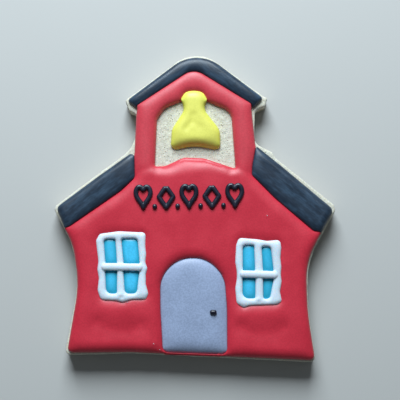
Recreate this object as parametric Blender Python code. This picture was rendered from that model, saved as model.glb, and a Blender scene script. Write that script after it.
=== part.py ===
"""An iced sugar biscuit cut as a little schoolhouse, lying flat with its icing up.

The biscuit carries poured icing for the wall, the bell tower, the three roofs and the door, a piped
bell, a door knob, two windows of blue panes in white frames, and a piped row of hearts and diamonds.
The tower end points along +Y and the biscuit rests on Z = 0, with the middle of its box on the Z axis.
Lengths are written in millimetres and turned to metres where the meshes are made.
"""
import math

import bpy
import numpy as np
from mathutils.geometry import delaunay_2d_cdt

MM = 0.001

# Layers, from the table up
BISCUIT_THICK = 6.5
BISCUIT_TOP_ROUND = 1.3
BISCUIT_FOOT_ROUND = 0.8
GAP = 0.3
ICING_BASE = BISCUIT_THICK + GAP

# Thickness of each icing, the width of its round shoulder, and the upright edge below the shoulder
WALL = (2.2, 2.6, 0.4)
TOWER = (2.4, 2.8, 0.4)
ROOF = (2.1, 2.4, 0.4)
DOOR = (2.1, 3.0, 0.4)
BELL = (2.6, 3.2, 0.4)
GLASS = (1.3, 0.8, 0.5)
FRAME = (1.4, 1.0, 0.2)
SIGN = (1.1, 0.75, 0.2)
KNOB = (0.8, 0.85, 0.1)

# Low swells of the wall: a ridge under the windows and one along the foot
WALL_SWELLS = ((-31.0, 3.2, 0.20), (-41.0, 2.6, 0.25))

# How full the round shoulder is: 2 is a quarter of an ellipse, and more is squarer
SHOULDER_POWER = 2.2

# Spacing of mesh points along outlines and over the tops
OUTLINE_STEP = 2.2
FINE_STEP = 1.2
NET_STEP = 4.2
BISCUIT_NET_STEP = 7.0
NET_MARGIN = 0.5
ARC_TURN = math.radians(38.0)
SAME_POINT = 1e-5

# Rings of points inside an outline, as shares of the shoulder's width
RING_SHARES = (0.12, 0.42, 0.95)
BISCUIT_RING_SHARES = (0.15, 0.5, 1.0)
BEAD_SHARES = (0.35, 0.9)

# A ring's point is dropped nearer the edge than this share of its depth, or this near another point
RING_SLACK = 0.9
SPREAD = 0.7
FRAME_SPREAD = 0.5
SIGN_SPREAD = 0.4
HOLE_SPREAD = 0.45

# Limits on a round corner: its least radius, and the share of a side that it may take up
LEAST_RADIUS = 0.2
SIDE_SHARE = 0.49

# Edges that turn more than this are shaded sharp
CREASE = math.radians(50.0)

# Corners as (x, y, radius of the round), counter-clockwise; a seam's corners serve both its icings
BISCUIT_OUTLINE = (
    (0.3, 50.85, 10.9),
    (-22.3, 33.85, 1.2), (-20.8, 30.3, 1.0), (-18.6, 29.6, 1.6),
    (-18.9, 19.4, 10.0),
    (-44.4, 0.3, 1.2),
    (-38.1, -11.6, 26.0), (-36.3, -23.5, 44.0),
    (-40.4, -45.4, 1.8), (-20.0, -44.8, 60.0), (37.1, -47.6, 1.7),
    (34.8, -31.0, 80.0), (34.8, -16.1, 32.0),
    (44.2, 0.3, 1.5),
    (25.0, 15.9, 0.8), (23.9, 17.7, 0.8), (18.4, 20.3, 4.0),
    (18.8, 30.9, 1.5), (21.9, 31.7, 0.8), (22.7, 34.7, 0.3), (21.3, 35.3, 0.5),
)
TOWER_RIDGE = (-0.6, 43.7, 5.4)
TOWER_EAVE_L = (-18.1, 32.1, 0.8)
TOWER_EAVE_R = (17.3, 32.6, 0.8)
TOWER_FOOT_L = (-18.84, 10.9, 0.9)
TOWER_FOOT_R = (17.5, 10.2, 0.9)
POST_FOOT_L = (-12.6, 13.0, 0.4)
POST_FOOT_R = (12.4, 12.3, 0.4)
CROWN_L = (-4.7, 36.7, 2.3)
CROWN_R = (3.6, 36.5, 2.3)
NECK_L = (-3.95, 33.9, 0.5)
NECK_R = (3.1, 34.0, 0.5)
ROOF_SEAM_L = ((-18.8, 9.4, 1.8), (-23.2, 5.2, 8.0), (-38.7, -5.6, 0.8))
ROOF_SEAM_R = ((24.6, 3.0, 16.0), (36.4, -7.1, 1.2))
WALL_EAVE_L = (-40.5, -6.2, 0.6)
WALL_EAVE_R = (38.9, -7.5, 0.6)

ROOF_TOP_OUTLINE = (
    (0.55, 50.65, 12.0),
    (-21.6, 33.85, 1.0), (-18.8, 31.6, 0.7), TOWER_EAVE_L, TOWER_RIDGE,
    TOWER_EAVE_R, (18.0, 31.3, 0.8), (21.3, 34.7, 0.9),
)
ROOF_LEFT_OUTLINE = (
    ROOF_SEAM_L[0], (-19.0, 16.2, 0.7), (-20.1, 17.1, 1.0), (-30.0, 10.0, 60.0), (-43.1, 0.2, 1.8),
    WALL_EAVE_L, ROOF_SEAM_L[2], ROOF_SEAM_L[1],
)
ROOF_RIGHT_OUTLINE = (
    (18.9, 19.4, 0.6), (17.6, 13.0, 4.0), TOWER_FOOT_R, ROOF_SEAM_R[0], ROOF_SEAM_R[1],
    WALL_EAVE_R, (42.9, -0.6, 2.0), (26.8, 13.0, 30.0),
)
TOWER_OUTLINE = (
    TOWER_RIDGE, TOWER_EAVE_L, (-18.5, 29.0, 6.0), (-19.0, 16.2, 6.0), TOWER_FOOT_L, POST_FOOT_L,
    (-12.0, 27.8, 3.5), (-9.5, 31.4, 5.0), NECK_L, CROWN_L, CROWN_R, NECK_R, (11.1, 30.3, 4.5),
    POST_FOOT_R, TOWER_FOOT_R, (17.6, 13.0, 4.0), (18.7, 18.9, 3.0), TOWER_EAVE_R,
)
WALL_OUTLINE = (
    TOWER_FOOT_L, *ROOF_SEAM_L, WALL_EAVE_L,
    (-37.8, -11.6, 20.0), (-35.9, -23.5, 44.0), (-39.3, -44.4, 1.6), (-20.0, -44.2, 60.0),
    (36.6, -46.7, 1.5), (34.3, -31.0, 80.0), (34.2, -16.8, 28.0),
    WALL_EAVE_R, ROOF_SEAM_R[1], ROOF_SEAM_R[0], TOWER_FOOT_R, POST_FOOT_R,
    (-2.0, 16.0, 6.0), POST_FOOT_L,
)
DOOR_OUTLINE = (
    (-10.8, -21.3, 9.4), (-10.7, -31.4, 60.0), (-9.9, -44.3, 1.9), (9.7, -45.0, 1.9),
    (9.7, -31.4, 60.0), (8.95, -21.3, 9.4), (3.4, -15.5, 9.4), (-5.1, -15.5, 9.4),
)
BELL_OUTLINE = (
    CROWN_L, (-3.2, 30.7, 3.0), (-7.4, 24.6, 4.5), (-7.8, 18.0, 1.7),
    (-0.1, 19.5, 12.0), (7.8, 18.0, 1.7), (7.6, 24.4, 4.5), (2.6, 30.9, 3.0), CROWN_R,
)
WINDOW_LEFT_OUTLINE = (
    (-30.7, -8.8, 1.6), (-29.5, -28.7, 2.4), (-22.4, -28.9, 20.0), (-14.3, -27.9, 1.4),
    (-15.1, -7.5, 1.3), (-23.0, -7.1, 20.0),
)
WINDOW_LEFT_PANES = (
    ((-28.2, -9.8, 0.9), (-27.6, -17.3, 0.4), (-24.1, -17.4, 0.4), (-24.7, -9.7, 0.5)),
    ((-22.8, -9.6, 0.6), (-22.0, -17.4, 0.4), (-17.1, -17.3, 0.4), (-17.9, -9.6, 1.0)),
    ((-27.7, -19.1, 0.4), (-27.3, -26.4, 2.2), (-24.1, -26.4, 0.5), (-24.1, -19.1, 0.4)),
    ((-22.1, -19.1, 0.4), (-21.6, -26.4, 1.2), (-18.0, -26.4, 1.2), (-17.2, -19.1, 0.4)),
)
WINDOW_RIGHT_OUTLINE = (
    (12.2, -9.2, 1.6), (12.1, -30.7, 2.4), (19.0, -30.0, 20.0), (26.3, -29.7, 1.6),
    (26.2, -10.1, 1.4), (19.0, -9.7, 20.0),
)
WINDOW_RIGHT_PANES = (
    ((14.6, -11.6, 1.0), (14.6, -19.4, 0.4), (18.3, -19.5, 0.4), (18.0, -11.6, 0.6)),
    ((20.4, -12.0, 0.6), (20.8, -19.6, 0.4), (24.0, -19.6, 0.4), (23.1, -12.1, 1.0)),
    ((14.5, -21.5, 0.4), (14.5, -27.9, 2.4), (18.3, -27.9, 0.5), (18.4, -21.5, 0.4)),
    ((20.8, -21.5, 0.4), (20.8, -28.0, 0.6), (22.8, -28.0, 1.6), (24.0, -21.7, 0.4)),
)
WINDOW_REBATE = 0.25

# The piped row over the door: open motifs with a dot low between each two
SIGN_MOTIFS = ("heart", "diamond", "heart", "diamond", "heart")
SIGN_MIDDLE = (-2.0, 3.4)
SIGN_LENGTH = 34.2
SIGN_TURN = math.radians(1.0)
SIGN_STROKE = 1.5
MOTIF_WIDE = 6.0
MOTIF_TALL = 8.0
DIAMOND_SOFT = 0.12
DOT_RADIUS = 0.8
DOT_DROP = 2.9

# The heart's curve is 29 units tall with its tip 17 units down, and its outline is 2.9 times its height
HEART_SPAN = 29.0
HEART_TIP = 17.0
HEART_LENGTH = 2.9

KNOB_AT = (5.45, -32.2)
KNOB_RADIUS = 0.9
DISC_SIDES = 10

# Colours as seen, 0 to 255 a channel, with a roughness, and the way from there to linear light
FULL = 255.0
GAMMA = 2.2
COLOURS = {
    "biscuit_crumb": ((226, 208, 172), 0.9),
    "red_icing": ((196, 52, 70), 0.5),
    "black_icing": ((44, 54, 70), 0.45),
    "yellow_icing": ((232, 232, 104), 0.5),
    "grey_icing": ((146, 162, 200), 0.5),
    "white_icing": ((230, 238, 244), 0.5),
    "blue_icing": ((58, 184, 240), 0.4),
}


def plan_middle(loop):
    """The middle of an outline's box"""
    return (loop.min(axis=0) + loop.max(axis=0)) / 2


def turned_inward(corners, inset):
    """Each corner moved in by the inset, with its radius, the directions of its two sides and its turn"""
    points = np.array([corner[:2] for corner in corners], float)
    radii = [corner[2] for corner in corners]
    moved = []
    for i, point in enumerate(points):
        before = points[i] - points[i - 1]
        after = points[(i + 1) % len(points)] - points[i]
        before /= np.linalg.norm(before)
        after /= np.linalg.norm(after)
        turn = before[0] * after[1] - before[1] * after[0]
        normal = np.array((-before[1] - after[1], before[0] + after[0]))
        normal /= 1.0 + before @ after
        radius = radii[i] - math.copysign(inset, turn)
        moved.append((point + inset * normal, max(radius, LEAST_RADIUS), before, after, turn))
    return moved


def outline(corners, step=OUTLINE_STEP, inset=0.0):
    """Points along a closed line of straight sides joined by round corners"""
    moved = turned_inward(corners, inset)
    arcs = []
    for i, (point, radius, before, after, turn) in enumerate(moved):
        bend = math.acos(np.clip(before @ after, -1.0, 1.0))
        room = SIDE_SHARE * min(
            np.linalg.norm(point - moved[i - 1][0]),
            np.linalg.norm(moved[(i + 1) % len(moved)][0] - point),
        )
        reach = min(radius * math.tan(bend / 2), room)
        radius = reach / math.tan(bend / 2)
        side = math.copysign(1.0, turn)
        start = point - reach * before
        centre = start + side * radius * np.array((-before[1], before[0]))
        count = max(1, math.ceil(radius * bend / step), math.ceil(bend / ARC_TURN))
        angle = math.atan2(*(start - centre)[::-1])
        turns = angle + side * bend * np.arange(count + 1) / count
        arcs.append(centre + radius * np.column_stack((np.cos(turns), np.sin(turns))))
    line = []
    for i, arc in enumerate(arcs):
        line.extend(arc)
        gap = arcs[(i + 1) % len(arcs)][0] - arc[-1]
        count = max(1, round(np.linalg.norm(gap) / step))
        line.extend(arc[-1] + gap * share / count for share in range(1, count))
    return np.array(line)


def heart(wide, tall, step):
    """A heart's outline, from its tip round, with the notch at the top"""
    count = math.ceil(HEART_LENGTH * tall / step)
    turns = math.pi + np.arange(count) * 2 * math.pi / count
    across = np.sin(turns) ** 3
    along = 13 * np.cos(turns) - 5 * np.cos(2 * turns) - 2 * np.cos(3 * turns) - np.cos(4 * turns)
    along = (along + HEART_TIP) / HEART_SPAN - 0.5
    return np.column_stack((-across * wide / 2, along * tall))


def diamond(wide, tall, step):
    """A diamond's outline with softened corners"""
    soft = DIAMOND_SOFT * wide
    tips = ((0.0, -tall / 2), (wide / 2, 0.0), (0.0, tall / 2), (-wide / 2, 0.0))
    return outline([(*tip, soft) for tip in tips], step)


def disc(radius):
    """Points round a circle"""
    turns = np.arange(DISC_SIDES) * 2 * math.pi / DISC_SIDES
    return radius * np.column_stack((np.cos(turns), np.sin(turns)))


def edge_distance(points, loops):
    """How far each point is from the nearest of the loops' sides"""
    nearest = np.full(len(points), np.inf)
    for loop in loops:
        ends = np.roll(loop, -1, axis=0)
        for start, end in zip(loop, ends):
            side = end - start
            share = np.clip((points - start) @ side / (side @ side), 0.0, 1.0)
            nearest = np.minimum(nearest, np.linalg.norm(points - start - share[:, None] * side, axis=1))
    return nearest


def within(points, loops):
    """Which points are inside the first loop and outside the others"""
    inside = np.zeros(len(points), bool)
    for loop in loops:
        for start, end in zip(loop, np.roll(loop, -1, axis=0)):
            spans = (start[1] > points[:, 1]) != (end[1] > points[:, 1])
            rise = end[1] - start[1] or 1.0
            crossing = start[0] + (points[:, 1] - start[1]) * (end[0] - start[0]) / rise
            inside ^= spans & (points[:, 0] < crossing)
    return inside


def rings(loops, depths, spread):
    """Points set in from the loops at each depth, leaving out any that would crowd another"""
    kept = []
    for depth in depths:
        for loop in loops:
            sides = np.roll(loop, -1, axis=0) - np.roll(loop, 1, axis=0)
            sides /= np.linalg.norm(sides, axis=1)[:, None]
            inward = np.column_stack((-sides[:, 1], sides[:, 0]))
            for sign in (1.0, -1.0):
                ring = loop + sign * depth * inward
                good = within(ring, loops) & (edge_distance(ring, loops) > RING_SLACK * depth)
                kept.extend(ring[good])
    chosen = []
    for point in kept:
        if all(abs(point - other).max() > spread for other in chosen):
            chosen.append(point)
    return np.array(chosen).reshape(-1, 2)


def net(loops, step, margin):
    """A net of equal triangles' corners over the inside of the loops, clear of the edge by the margin"""
    low, high = loops[0].min(axis=0), loops[0].max(axis=0)
    rows = np.arange(low[1], high[1], step * math.sqrt(0.75))
    points = np.array([
        (x + (step / 2 if row % 2 else 0.0), y)
        for row, y in enumerate(rows)
        for x in np.arange(low[0], high[0], step)
    ]).reshape(-1, 2)
    points = points[within(points, loops)]
    return points[edge_distance(points, loops) > margin]


def crown(distance, shape):
    """Height of an icing above its base, at a distance in from its edge"""
    thick, shoulder, edge = shape
    away = np.clip(1.0 - distance / shoulder, 0.0, 1.0)
    return edge + (thick - edge) * (1.0 - away ** SHOULDER_POWER) ** (1 / SHOULDER_POWER)


def finish(name, vertices, faces, colour):
    """An object of its own for one piece, in metres, with its material"""
    mesh = bpy.data.meshes.new(name)
    mesh.from_pydata((np.asarray(vertices) * MM).tolist(), [], faces)
    mesh.shade_smooth()
    mesh.set_sharp_from_angle(angle=CREASE)
    mesh.materials.append(material(colour))
    piece = bpy.data.objects.new(name, mesh)
    bpy.context.scene.collection.objects.link(piece)


def slab(name, loops, colour, top_at, foot_at, depths, step=NET_STEP, spread=SPREAD):
    """A closed body over the inside of the loops, between a top and a foot given as heights"""
    inner = rings(loops, depths, spread)
    rest = net(loops, step, depths[-1] + NET_MARGIN * step)
    rim_count = sum(len(loop) for loop in loops)
    points = np.concatenate([*loops, inner, rest])
    edges = []
    first = 0
    for loop in loops:
        edges += [(first + i, first + (i + 1) % len(loop)) for i in range(len(loop))]
        first += len(loop)
    flat, _, faces, *_ = delaunay_2d_cdt(points.tolist(), edges, [], 0, SAME_POINT)
    flat = np.array([tuple(point) for point in flat])
    middles = np.array([flat[list(face)].mean(axis=0) for face in faces])
    faces = [tuple(face) for face, keep in zip(faces, within(middles, loops)) if keep]
    distance = edge_distance(flat, loops)
    distance[:rim_count] = 0.0
    count = len(flat)
    vertices = np.concatenate([
        np.column_stack((flat, top_at(flat, distance))),
        np.column_stack((flat, foot_at(flat, distance))),
    ])
    feet = [tuple(count + i for i in reversed(face)) for face in faces]
    sides = [(b, a, a + count, b + count) for a, b in open_edges(faces)]
    finish(name, vertices, faces + feet + sides, colour)


def open_edges(faces):
    """The directed edges that only one face has, which are the outline's"""
    edges = {(face[i], face[(i + 1) % 3]) for face in faces for i in range(3)}
    return sorted(edge for edge in edges if edge[::-1] not in edges)


def material(name):
    """The material of that name, made once"""
    if name in bpy.data.materials:
        return bpy.data.materials[name]
    seen, roughness = COLOURS[name]
    made = bpy.data.materials.new(name)
    made.use_nodes = True
    shader = made.node_tree.nodes["Principled BSDF"]
    linear = [(channel / FULL) ** GAMMA for channel in seen]
    shader.inputs["Base Color"].default_value = (*linear, 1.0)
    shader.inputs["Roughness"].default_value = roughness
    shader.inputs["Metallic"].default_value = 0.0
    return made


def poured(name, loops, colour, shape, base=ICING_BASE):
    """Icing of a shape that lies level on what is at its base"""
    return slab(
        name, loops, colour,
        lambda flat, distance: base + crown(distance, shape),
        lambda flat, distance: np.full(len(flat), base),
        [share * shape[1] for share in RING_SHARES],
    )


def wall_top(flat, distance):
    """Height of the wall's icing, with its low swells"""
    swells = sum(
        tall * np.exp(-((flat[:, 1] - along) / wide) ** 2) for along, wide, tall in WALL_SWELLS
    )
    level = crown(distance, WALL)
    return ICING_BASE + level + swells * (level / WALL[0]) ** 2


def biscuit(middle):
    """The baked biscuit, round at its top and foot edges"""
    loops = [outline(BISCUIT_OUTLINE) - middle]

    def fall(distance, radius):
        away = np.clip(1.0 - distance / radius, 0.0, 1.0)
        return radius * (1.0 - np.sqrt(1.0 - away ** 2))

    return slab(
        "biscuit", loops, "biscuit_crumb",
        lambda flat, distance: BISCUIT_THICK - fall(distance, BISCUIT_TOP_ROUND),
        lambda flat, distance: fall(distance, BISCUIT_FOOT_ROUND),
        [share * BISCUIT_TOP_ROUND for share in BISCUIT_RING_SHARES],
        step=BISCUIT_NET_STEP,
    )


def wall_loops(middle):
    """The wall's outline, and its openings for the door and the windows"""
    return [
        outline(WALL_OUTLINE, inset=GAP / 2) - middle,
        outline(DOOR_OUTLINE, inset=-GAP / 2) - middle,
        outline(WINDOW_LEFT_OUTLINE, inset=-GAP / 2) - middle,
        outline(WINDOW_RIGHT_OUTLINE, inset=-GAP / 2) - middle,
    ]


def wall(loops):
    """The red front of the house"""
    return slab(
        "wall_icing", loops, "red_icing", wall_top,
        lambda flat, distance: np.full(len(flat), ICING_BASE),
        [share * WALL[1] for share in RING_SHARES],
    )


def roofs_and_tower(middle):
    """The tower's arch with its roof, and the two roofs beside it"""
    for name, corners in (
        ("roof_top_icing", ROOF_TOP_OUTLINE),
        ("roof_left_icing", ROOF_LEFT_OUTLINE),
        ("roof_right_icing", ROOF_RIGHT_OUTLINE),
    ):
        poured(name, [outline(corners, inset=GAP / 2) - middle], "black_icing", ROOF)
    poured("tower_icing", [outline(TOWER_OUTLINE, inset=GAP / 2) - middle], "red_icing", TOWER)


def door(middle):
    """The door, and its knob on it"""
    loops = [outline(DOOR_OUTLINE, inset=GAP / 2) - middle]
    poured("door_icing", loops, "grey_icing", DOOR)
    knob = [disc(KNOB_RADIUS) + KNOB_AT - middle]
    poured("door_knob", knob, "black_icing", KNOB, ICING_BASE + DOOR[0] + GAP)


def bell(middle):
    """The bell in the tower's opening"""
    poured("bell_icing", [outline(BELL_OUTLINE, inset=GAP / 2) - middle], "yellow_icing", BELL)


def window(side, outer, panes, middle):
    """Blue panes as one low plate, and the white frame of beads that stands on it"""
    plate = [outline(outer, inset=GAP / 2 + WINDOW_REBATE) - middle]
    poured(f"window_{side}_glass", plate, "blue_icing", GLASS)
    base = ICING_BASE + GLASS[0] + GAP
    loops = [outline(outer, FINE_STEP, GAP / 2) - middle]
    loops += [outline(pane, FINE_STEP) - middle for pane in panes]
    slab(
        f"window_{side}_frame", loops, "white_icing",
        lambda flat, distance: base + crown(distance, FRAME),
        lambda flat, distance: np.full(len(flat), base),
        [share * FRAME[1] for share in BEAD_SHARES],
        spread=FRAME_SPREAD,
    )


def sign_place(along, rise, middle):
    """A point of the piped row, from its distance along the row and its rise above the middle line"""
    across = along * math.cos(SIGN_TURN) - rise * math.sin(SIGN_TURN)
    upward = along * math.sin(SIGN_TURN) + rise * math.cos(SIGN_TURN)
    return np.array(SIGN_MIDDLE) + (across, upward) - middle


def piped(name, loops, carrier):
    """A bead of black icing lying on the wall"""
    def foot(flat, distance):
        return wall_top(flat, edge_distance(flat, carrier)) + GAP

    slab(
        name, loops, "black_icing",
        lambda flat, distance: foot(flat, distance) + crown(distance, SIGN),
        foot,
        [share * SIGN[1] for share in BEAD_SHARES],
        spread=SIGN_SPREAD,
    )


def sign(middle, carrier):
    """The piped row over the door, its motifs numbered by kind and its dots from the left"""
    gaps = len(SIGN_MOTIFS) - 1
    pitch = (SIGN_LENGTH - MOTIF_WIDE) / gaps
    for i, motif in enumerate(SIGN_MOTIFS):
        shape = heart if motif == "heart" else diamond
        place = sign_place((i - gaps / 2) * pitch, 0.0, middle)
        outer = shape(MOTIF_WIDE, MOTIF_TALL, FINE_STEP) + place
        hole = rings([outer], [SIGN_STROKE], HOLE_SPREAD)
        number = SIGN_MOTIFS[:i + 1].count(motif)
        piped(f"sign_{motif}_{number}", [outer, hole], carrier)
    for i in range(gaps):
        place = sign_place((i + 0.5 - gaps / 2) * pitch, -DOT_DROP, middle)
        piped(f"sign_dot_{i + 1}", [disc(DOT_RADIUS) + place], carrier)


def main():
    for old in list(bpy.data.objects):
        bpy.data.objects.remove(old, do_unlink=True)
    middle = plan_middle(outline(BISCUIT_OUTLINE))
    carrier = wall_loops(middle)
    biscuit(middle)
    wall(carrier)
    roofs_and_tower(middle)
    door(middle)
    bell(middle)
    window("left", WINDOW_LEFT_OUTLINE, WINDOW_LEFT_PANES, middle)
    window("right", WINDOW_RIGHT_OUTLINE, WINDOW_RIGHT_PANES, middle)
    sign(middle, carrier)


main()
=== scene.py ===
"""An iced sugar biscuit cut as a little schoolhouse: a baked slab, poured icings and piped beads.

The file is laid out as an add-on and run as a script. Plan shapes and heights are written in
millimetres, with the biscuit's middle on the Z axis and the table at Z = 0, and become metres where
a mesh is made. Sizes and colours that a baker would change are properties, in metres.
"""
import math

import bmesh
import bpy
import numpy as np
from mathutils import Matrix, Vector, noise
from mathutils.geometry import delaunay_2d_cdt


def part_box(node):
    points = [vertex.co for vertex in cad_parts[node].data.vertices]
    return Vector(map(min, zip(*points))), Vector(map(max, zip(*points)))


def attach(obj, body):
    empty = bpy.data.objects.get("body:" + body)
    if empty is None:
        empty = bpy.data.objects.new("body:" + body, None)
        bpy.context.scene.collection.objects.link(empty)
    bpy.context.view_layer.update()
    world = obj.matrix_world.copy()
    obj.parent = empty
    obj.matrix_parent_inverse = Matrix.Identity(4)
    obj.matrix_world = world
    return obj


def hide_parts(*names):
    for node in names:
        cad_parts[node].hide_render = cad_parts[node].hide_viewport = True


bl_info = {
    "name": "Iced Schoolhouse Biscuit",
    "version": (1, 0, 0),
    "blender": (4, 5, 0),
    "location": "3D View > Sidebar > Biscuit",
    "description": "Bakes, ices and pipes a schoolhouse biscuit on a pale table",
    "category": "Object",
}

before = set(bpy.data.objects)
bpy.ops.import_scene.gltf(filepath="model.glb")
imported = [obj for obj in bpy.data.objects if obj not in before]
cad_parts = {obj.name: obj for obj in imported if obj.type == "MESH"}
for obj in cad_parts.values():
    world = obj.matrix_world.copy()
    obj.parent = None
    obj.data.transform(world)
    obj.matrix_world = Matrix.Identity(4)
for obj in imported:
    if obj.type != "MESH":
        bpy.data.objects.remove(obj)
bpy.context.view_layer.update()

MM = 0.001
BODY = "root"

# How finely outlines and tops are meshed, and how near in a point counts as the same place
RIM_STEP = 0.45
NET_STEP = 0.5
FRAME_STEP = 0.3
RING_DEPTHS = (0.06, 0.16, 0.3, 0.5, 0.78, 1.1, 1.5, 2.0)
RING_SPREAD = 0.55
RING_TRUE = 0.9
LEAST_SPREAD = 0.1
NEARBY = 0.3
ARC_TURN = math.radians(14.0)
SAME_POINT = 1e-5
LEAST_RADIUS = 0.2
SIDE_SHARE = 0.49

# The biscuit's rounded edges, how it is meshed, and how far icing sinks into its crumb
TOP_ROUND = 0.5
FOOT_ROUND = 0.8
TOP_RINGS = (0.1, 0.25, 0.5, 0.9, 1.3)
TOP_CLEAR = 1.6
CRUMB_STEP = 0.34
HIDDEN_STEP = 2.6
COVER_MARGIN = 0.7
FOOT_RINGS = (0.15, 0.4, 0.8)
FOOT_CLEAR = 1.5
FOOT_STEP = 1.4
SIDE_ROWS = 9
SUNK = 0.35

# The biscuit's grain as layers of unevenness: size, seed and share of its depth
GRAINS = ((1.3, 3.0, 1.0), (0.55, 8.0, 0.8), (0.3, 5.0, 0.5))
SIDE_BACK = 1.4
SIDE_LEAN = 0.05
SIDE_WAVES = (7.0, 1.0)
SIDE_WAVE_DEPTH = 0.05

# How brown the side is at its foot, how fast that fades upward, what the underside adds, and the top's share
BROWN_FOOT = 0.94
BROWN_FADE = 1.25
BROWN_UNDER = 0.25
BROWN_TOP = 0.3

# Loose crumbs: the inset of the face that they fall on, its net, and how far they reach under icing
CRUMB_INSET = 1.0
CRUMB_NET = 0.6
CRUMB_CLEAR = 1.4
CRUMB_UNDER = 0.1

# Slow waves in the icings, as size and seed
FRONT_WAVES = (9.0, 2.0)
POOL_WAVES = (6.0, 4.0)
FRAME_WAVES = (2.2, 9.0)
FRAME_WAVE_DEPTH = 0.1

# A free edge of icing: the upright part and how full its round shoulder is. Then how near a seam it
# starts to change, how far in that is felt, and where relief and the depth from the edge level out
FREE_EDGE = 0.25
FREE_SHARPNESS = 0.46
SEAM_FADE = 1.2
SEAM_REACH = 6.0
CALM_EDGE = 1.6
PILLOW = 1.6
OVERLAP = 0.03
HEADROOM = 0.06

# The solve that rounds each pool: its steepest pull, how near it comes, and its most rounds
STEEPEST = 40.0
SOLVED = 1e-10
MOST_ROUNDS = 600

# Corners as (x, y, radius of the round), counter-clockwise; a seam's corners serve both its icings
BISCUIT_OUTLINE = (
    (0.3, 50.85, 10.9),
    (-22.3, 33.85, 1.2), (-20.8, 30.3, 1.0), (-18.6, 29.6, 1.6),
    (-18.9, 19.4, 10.0),
    (-44.4, 0.3, 1.8),
    (-38.1, -11.6, 26.0), (-36.3, -23.5, 44.0),
    (-40.4, -45.4, 1.8), (-20.0, -44.8, 60.0), (37.1, -47.6, 1.7),
    (34.8, -31.0, 80.0), (34.8, -16.1, 32.0),
    (44.2, 0.3, 2.2),
    (25.0, 15.9, 0.8), (23.9, 17.7, 0.8), (18.4, 20.3, 4.0),
    (18.8, 30.9, 1.8), (21.9, 31.7, 1.4), (22.7, 34.7, 0.7), (21.3, 35.3, 0.8),
)
TOWER_RIDGE = (-0.6, 43.7, 5.4)
TOWER_EAVE_L = (-18.1, 32.1, 0.8)
TOWER_EAVE_R = (17.3, 32.6, 0.8)
TOWER_FOOT_R = (17.5, 10.2, 0.9)
POST_FOOT_L = (-12.6, 13.0, 0.4)
POST_FOOT_R = (12.4, 12.3, 0.4)
OPENING_SILL = ((-9.4, 13.1, 4.0), (-3.6, 15.8, 4.0), (2.8, 15.5, 7.0))
CROWN = ((3.65, 34.4, 1.4), (2.5, 36.15, 2.2), (-0.4, 36.95, 3.0), (-3.4, 36.25, 2.2), (-4.6, 34.5, 1.4))
ROOF_SEAM_L = ((-18.8, 9.4, 1.8), (-23.2, 5.2, 8.0), (-38.7, -5.6, 0.8))
ROOF_SEAM_R = ((24.6, 3.0, 16.0), (36.4, -7.1, 1.2))
WALL_EAVE_L = (-40.5, -6.2, 0.6)
WALL_EAVE_R = (38.9, -7.5, 0.6)

ROOF_TOP_OUTLINE = (
    (0.4, 50.3, 12.0),
    (-21.5, 33.65, 1.0), (-18.8, 31.6, 0.7), TOWER_EAVE_L, TOWER_RIDGE,
    TOWER_EAVE_R, (18.0, 31.3, 0.8), (21.2, 34.45, 0.9),
)
ROOF_LEFT_OUTLINE = (
    ROOF_SEAM_L[0], (-19.0, 16.2, 0.7), (-20.1, 17.1, 1.0), (-30.0, 10.0, 60.0), (-43.1, 0.2, 1.8),
    WALL_EAVE_L, ROOF_SEAM_L[2], ROOF_SEAM_L[1],
)
ROOF_RIGHT_OUTLINE = (
    (18.9, 19.4, 0.6), (17.6, 13.0, 4.0), TOWER_FOOT_R, ROOF_SEAM_R[0], ROOF_SEAM_R[1],
    WALL_EAVE_R, (42.9, -0.6, 2.0), (26.8, 13.0, 30.0),
)
FRONT_OUTLINE = (
    TOWER_RIDGE, TOWER_EAVE_L, (-18.5, 29.0, 6.0), (-19.0, 16.2, 6.0),
    *ROOF_SEAM_L, WALL_EAVE_L,
    (-37.8, -11.6, 20.0), (-35.9, -23.5, 44.0), (-39.3, -44.4, 1.6), (-20.0, -44.2, 60.0),
    (36.6, -46.7, 1.5), (34.3, -31.0, 80.0), (34.2, -16.8, 28.0),
    WALL_EAVE_R, ROOF_SEAM_R[1], ROOF_SEAM_R[0], TOWER_FOOT_R,
    (17.6, 13.0, 4.0), (18.7, 18.9, 3.0), TOWER_EAVE_R,
)
OPENING_OUTLINE = (
    POST_FOOT_L, *OPENING_SILL, POST_FOOT_R, (11.1, 30.3, 4.5), (2.9, 33.7, 0.5), (1.9, 35.75, 1.4),
    (-2.8, 35.85, 1.4), (-3.8, 33.7, 0.5), (-9.5, 31.4, 5.0), (-12.0, 27.8, 3.5),
)
DOOR_OUTLINE = (
    (-10.8, -21.3, 9.4), (-10.7, -31.4, 60.0), (-9.9, -44.3, 1.9), (9.7, -45.0, 1.9),
    (9.7, -31.4, 60.0), (8.95, -21.3, 9.4), (3.4, -15.5, 9.4), (-5.1, -15.5, 9.4),
)
BELL_FOOT = ((-7.8, 18.0, 1.7), (-0.1, 19.5, 12.0), (7.8, 18.0, 1.7))
BELL_OUTLINE = (
    *CROWN, (-3.5, 30.7, 3.0), (-7.4, 24.6, 4.5), *BELL_FOOT, (7.6, 24.4, 4.5), (2.6, 30.9, 3.0),
)

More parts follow.
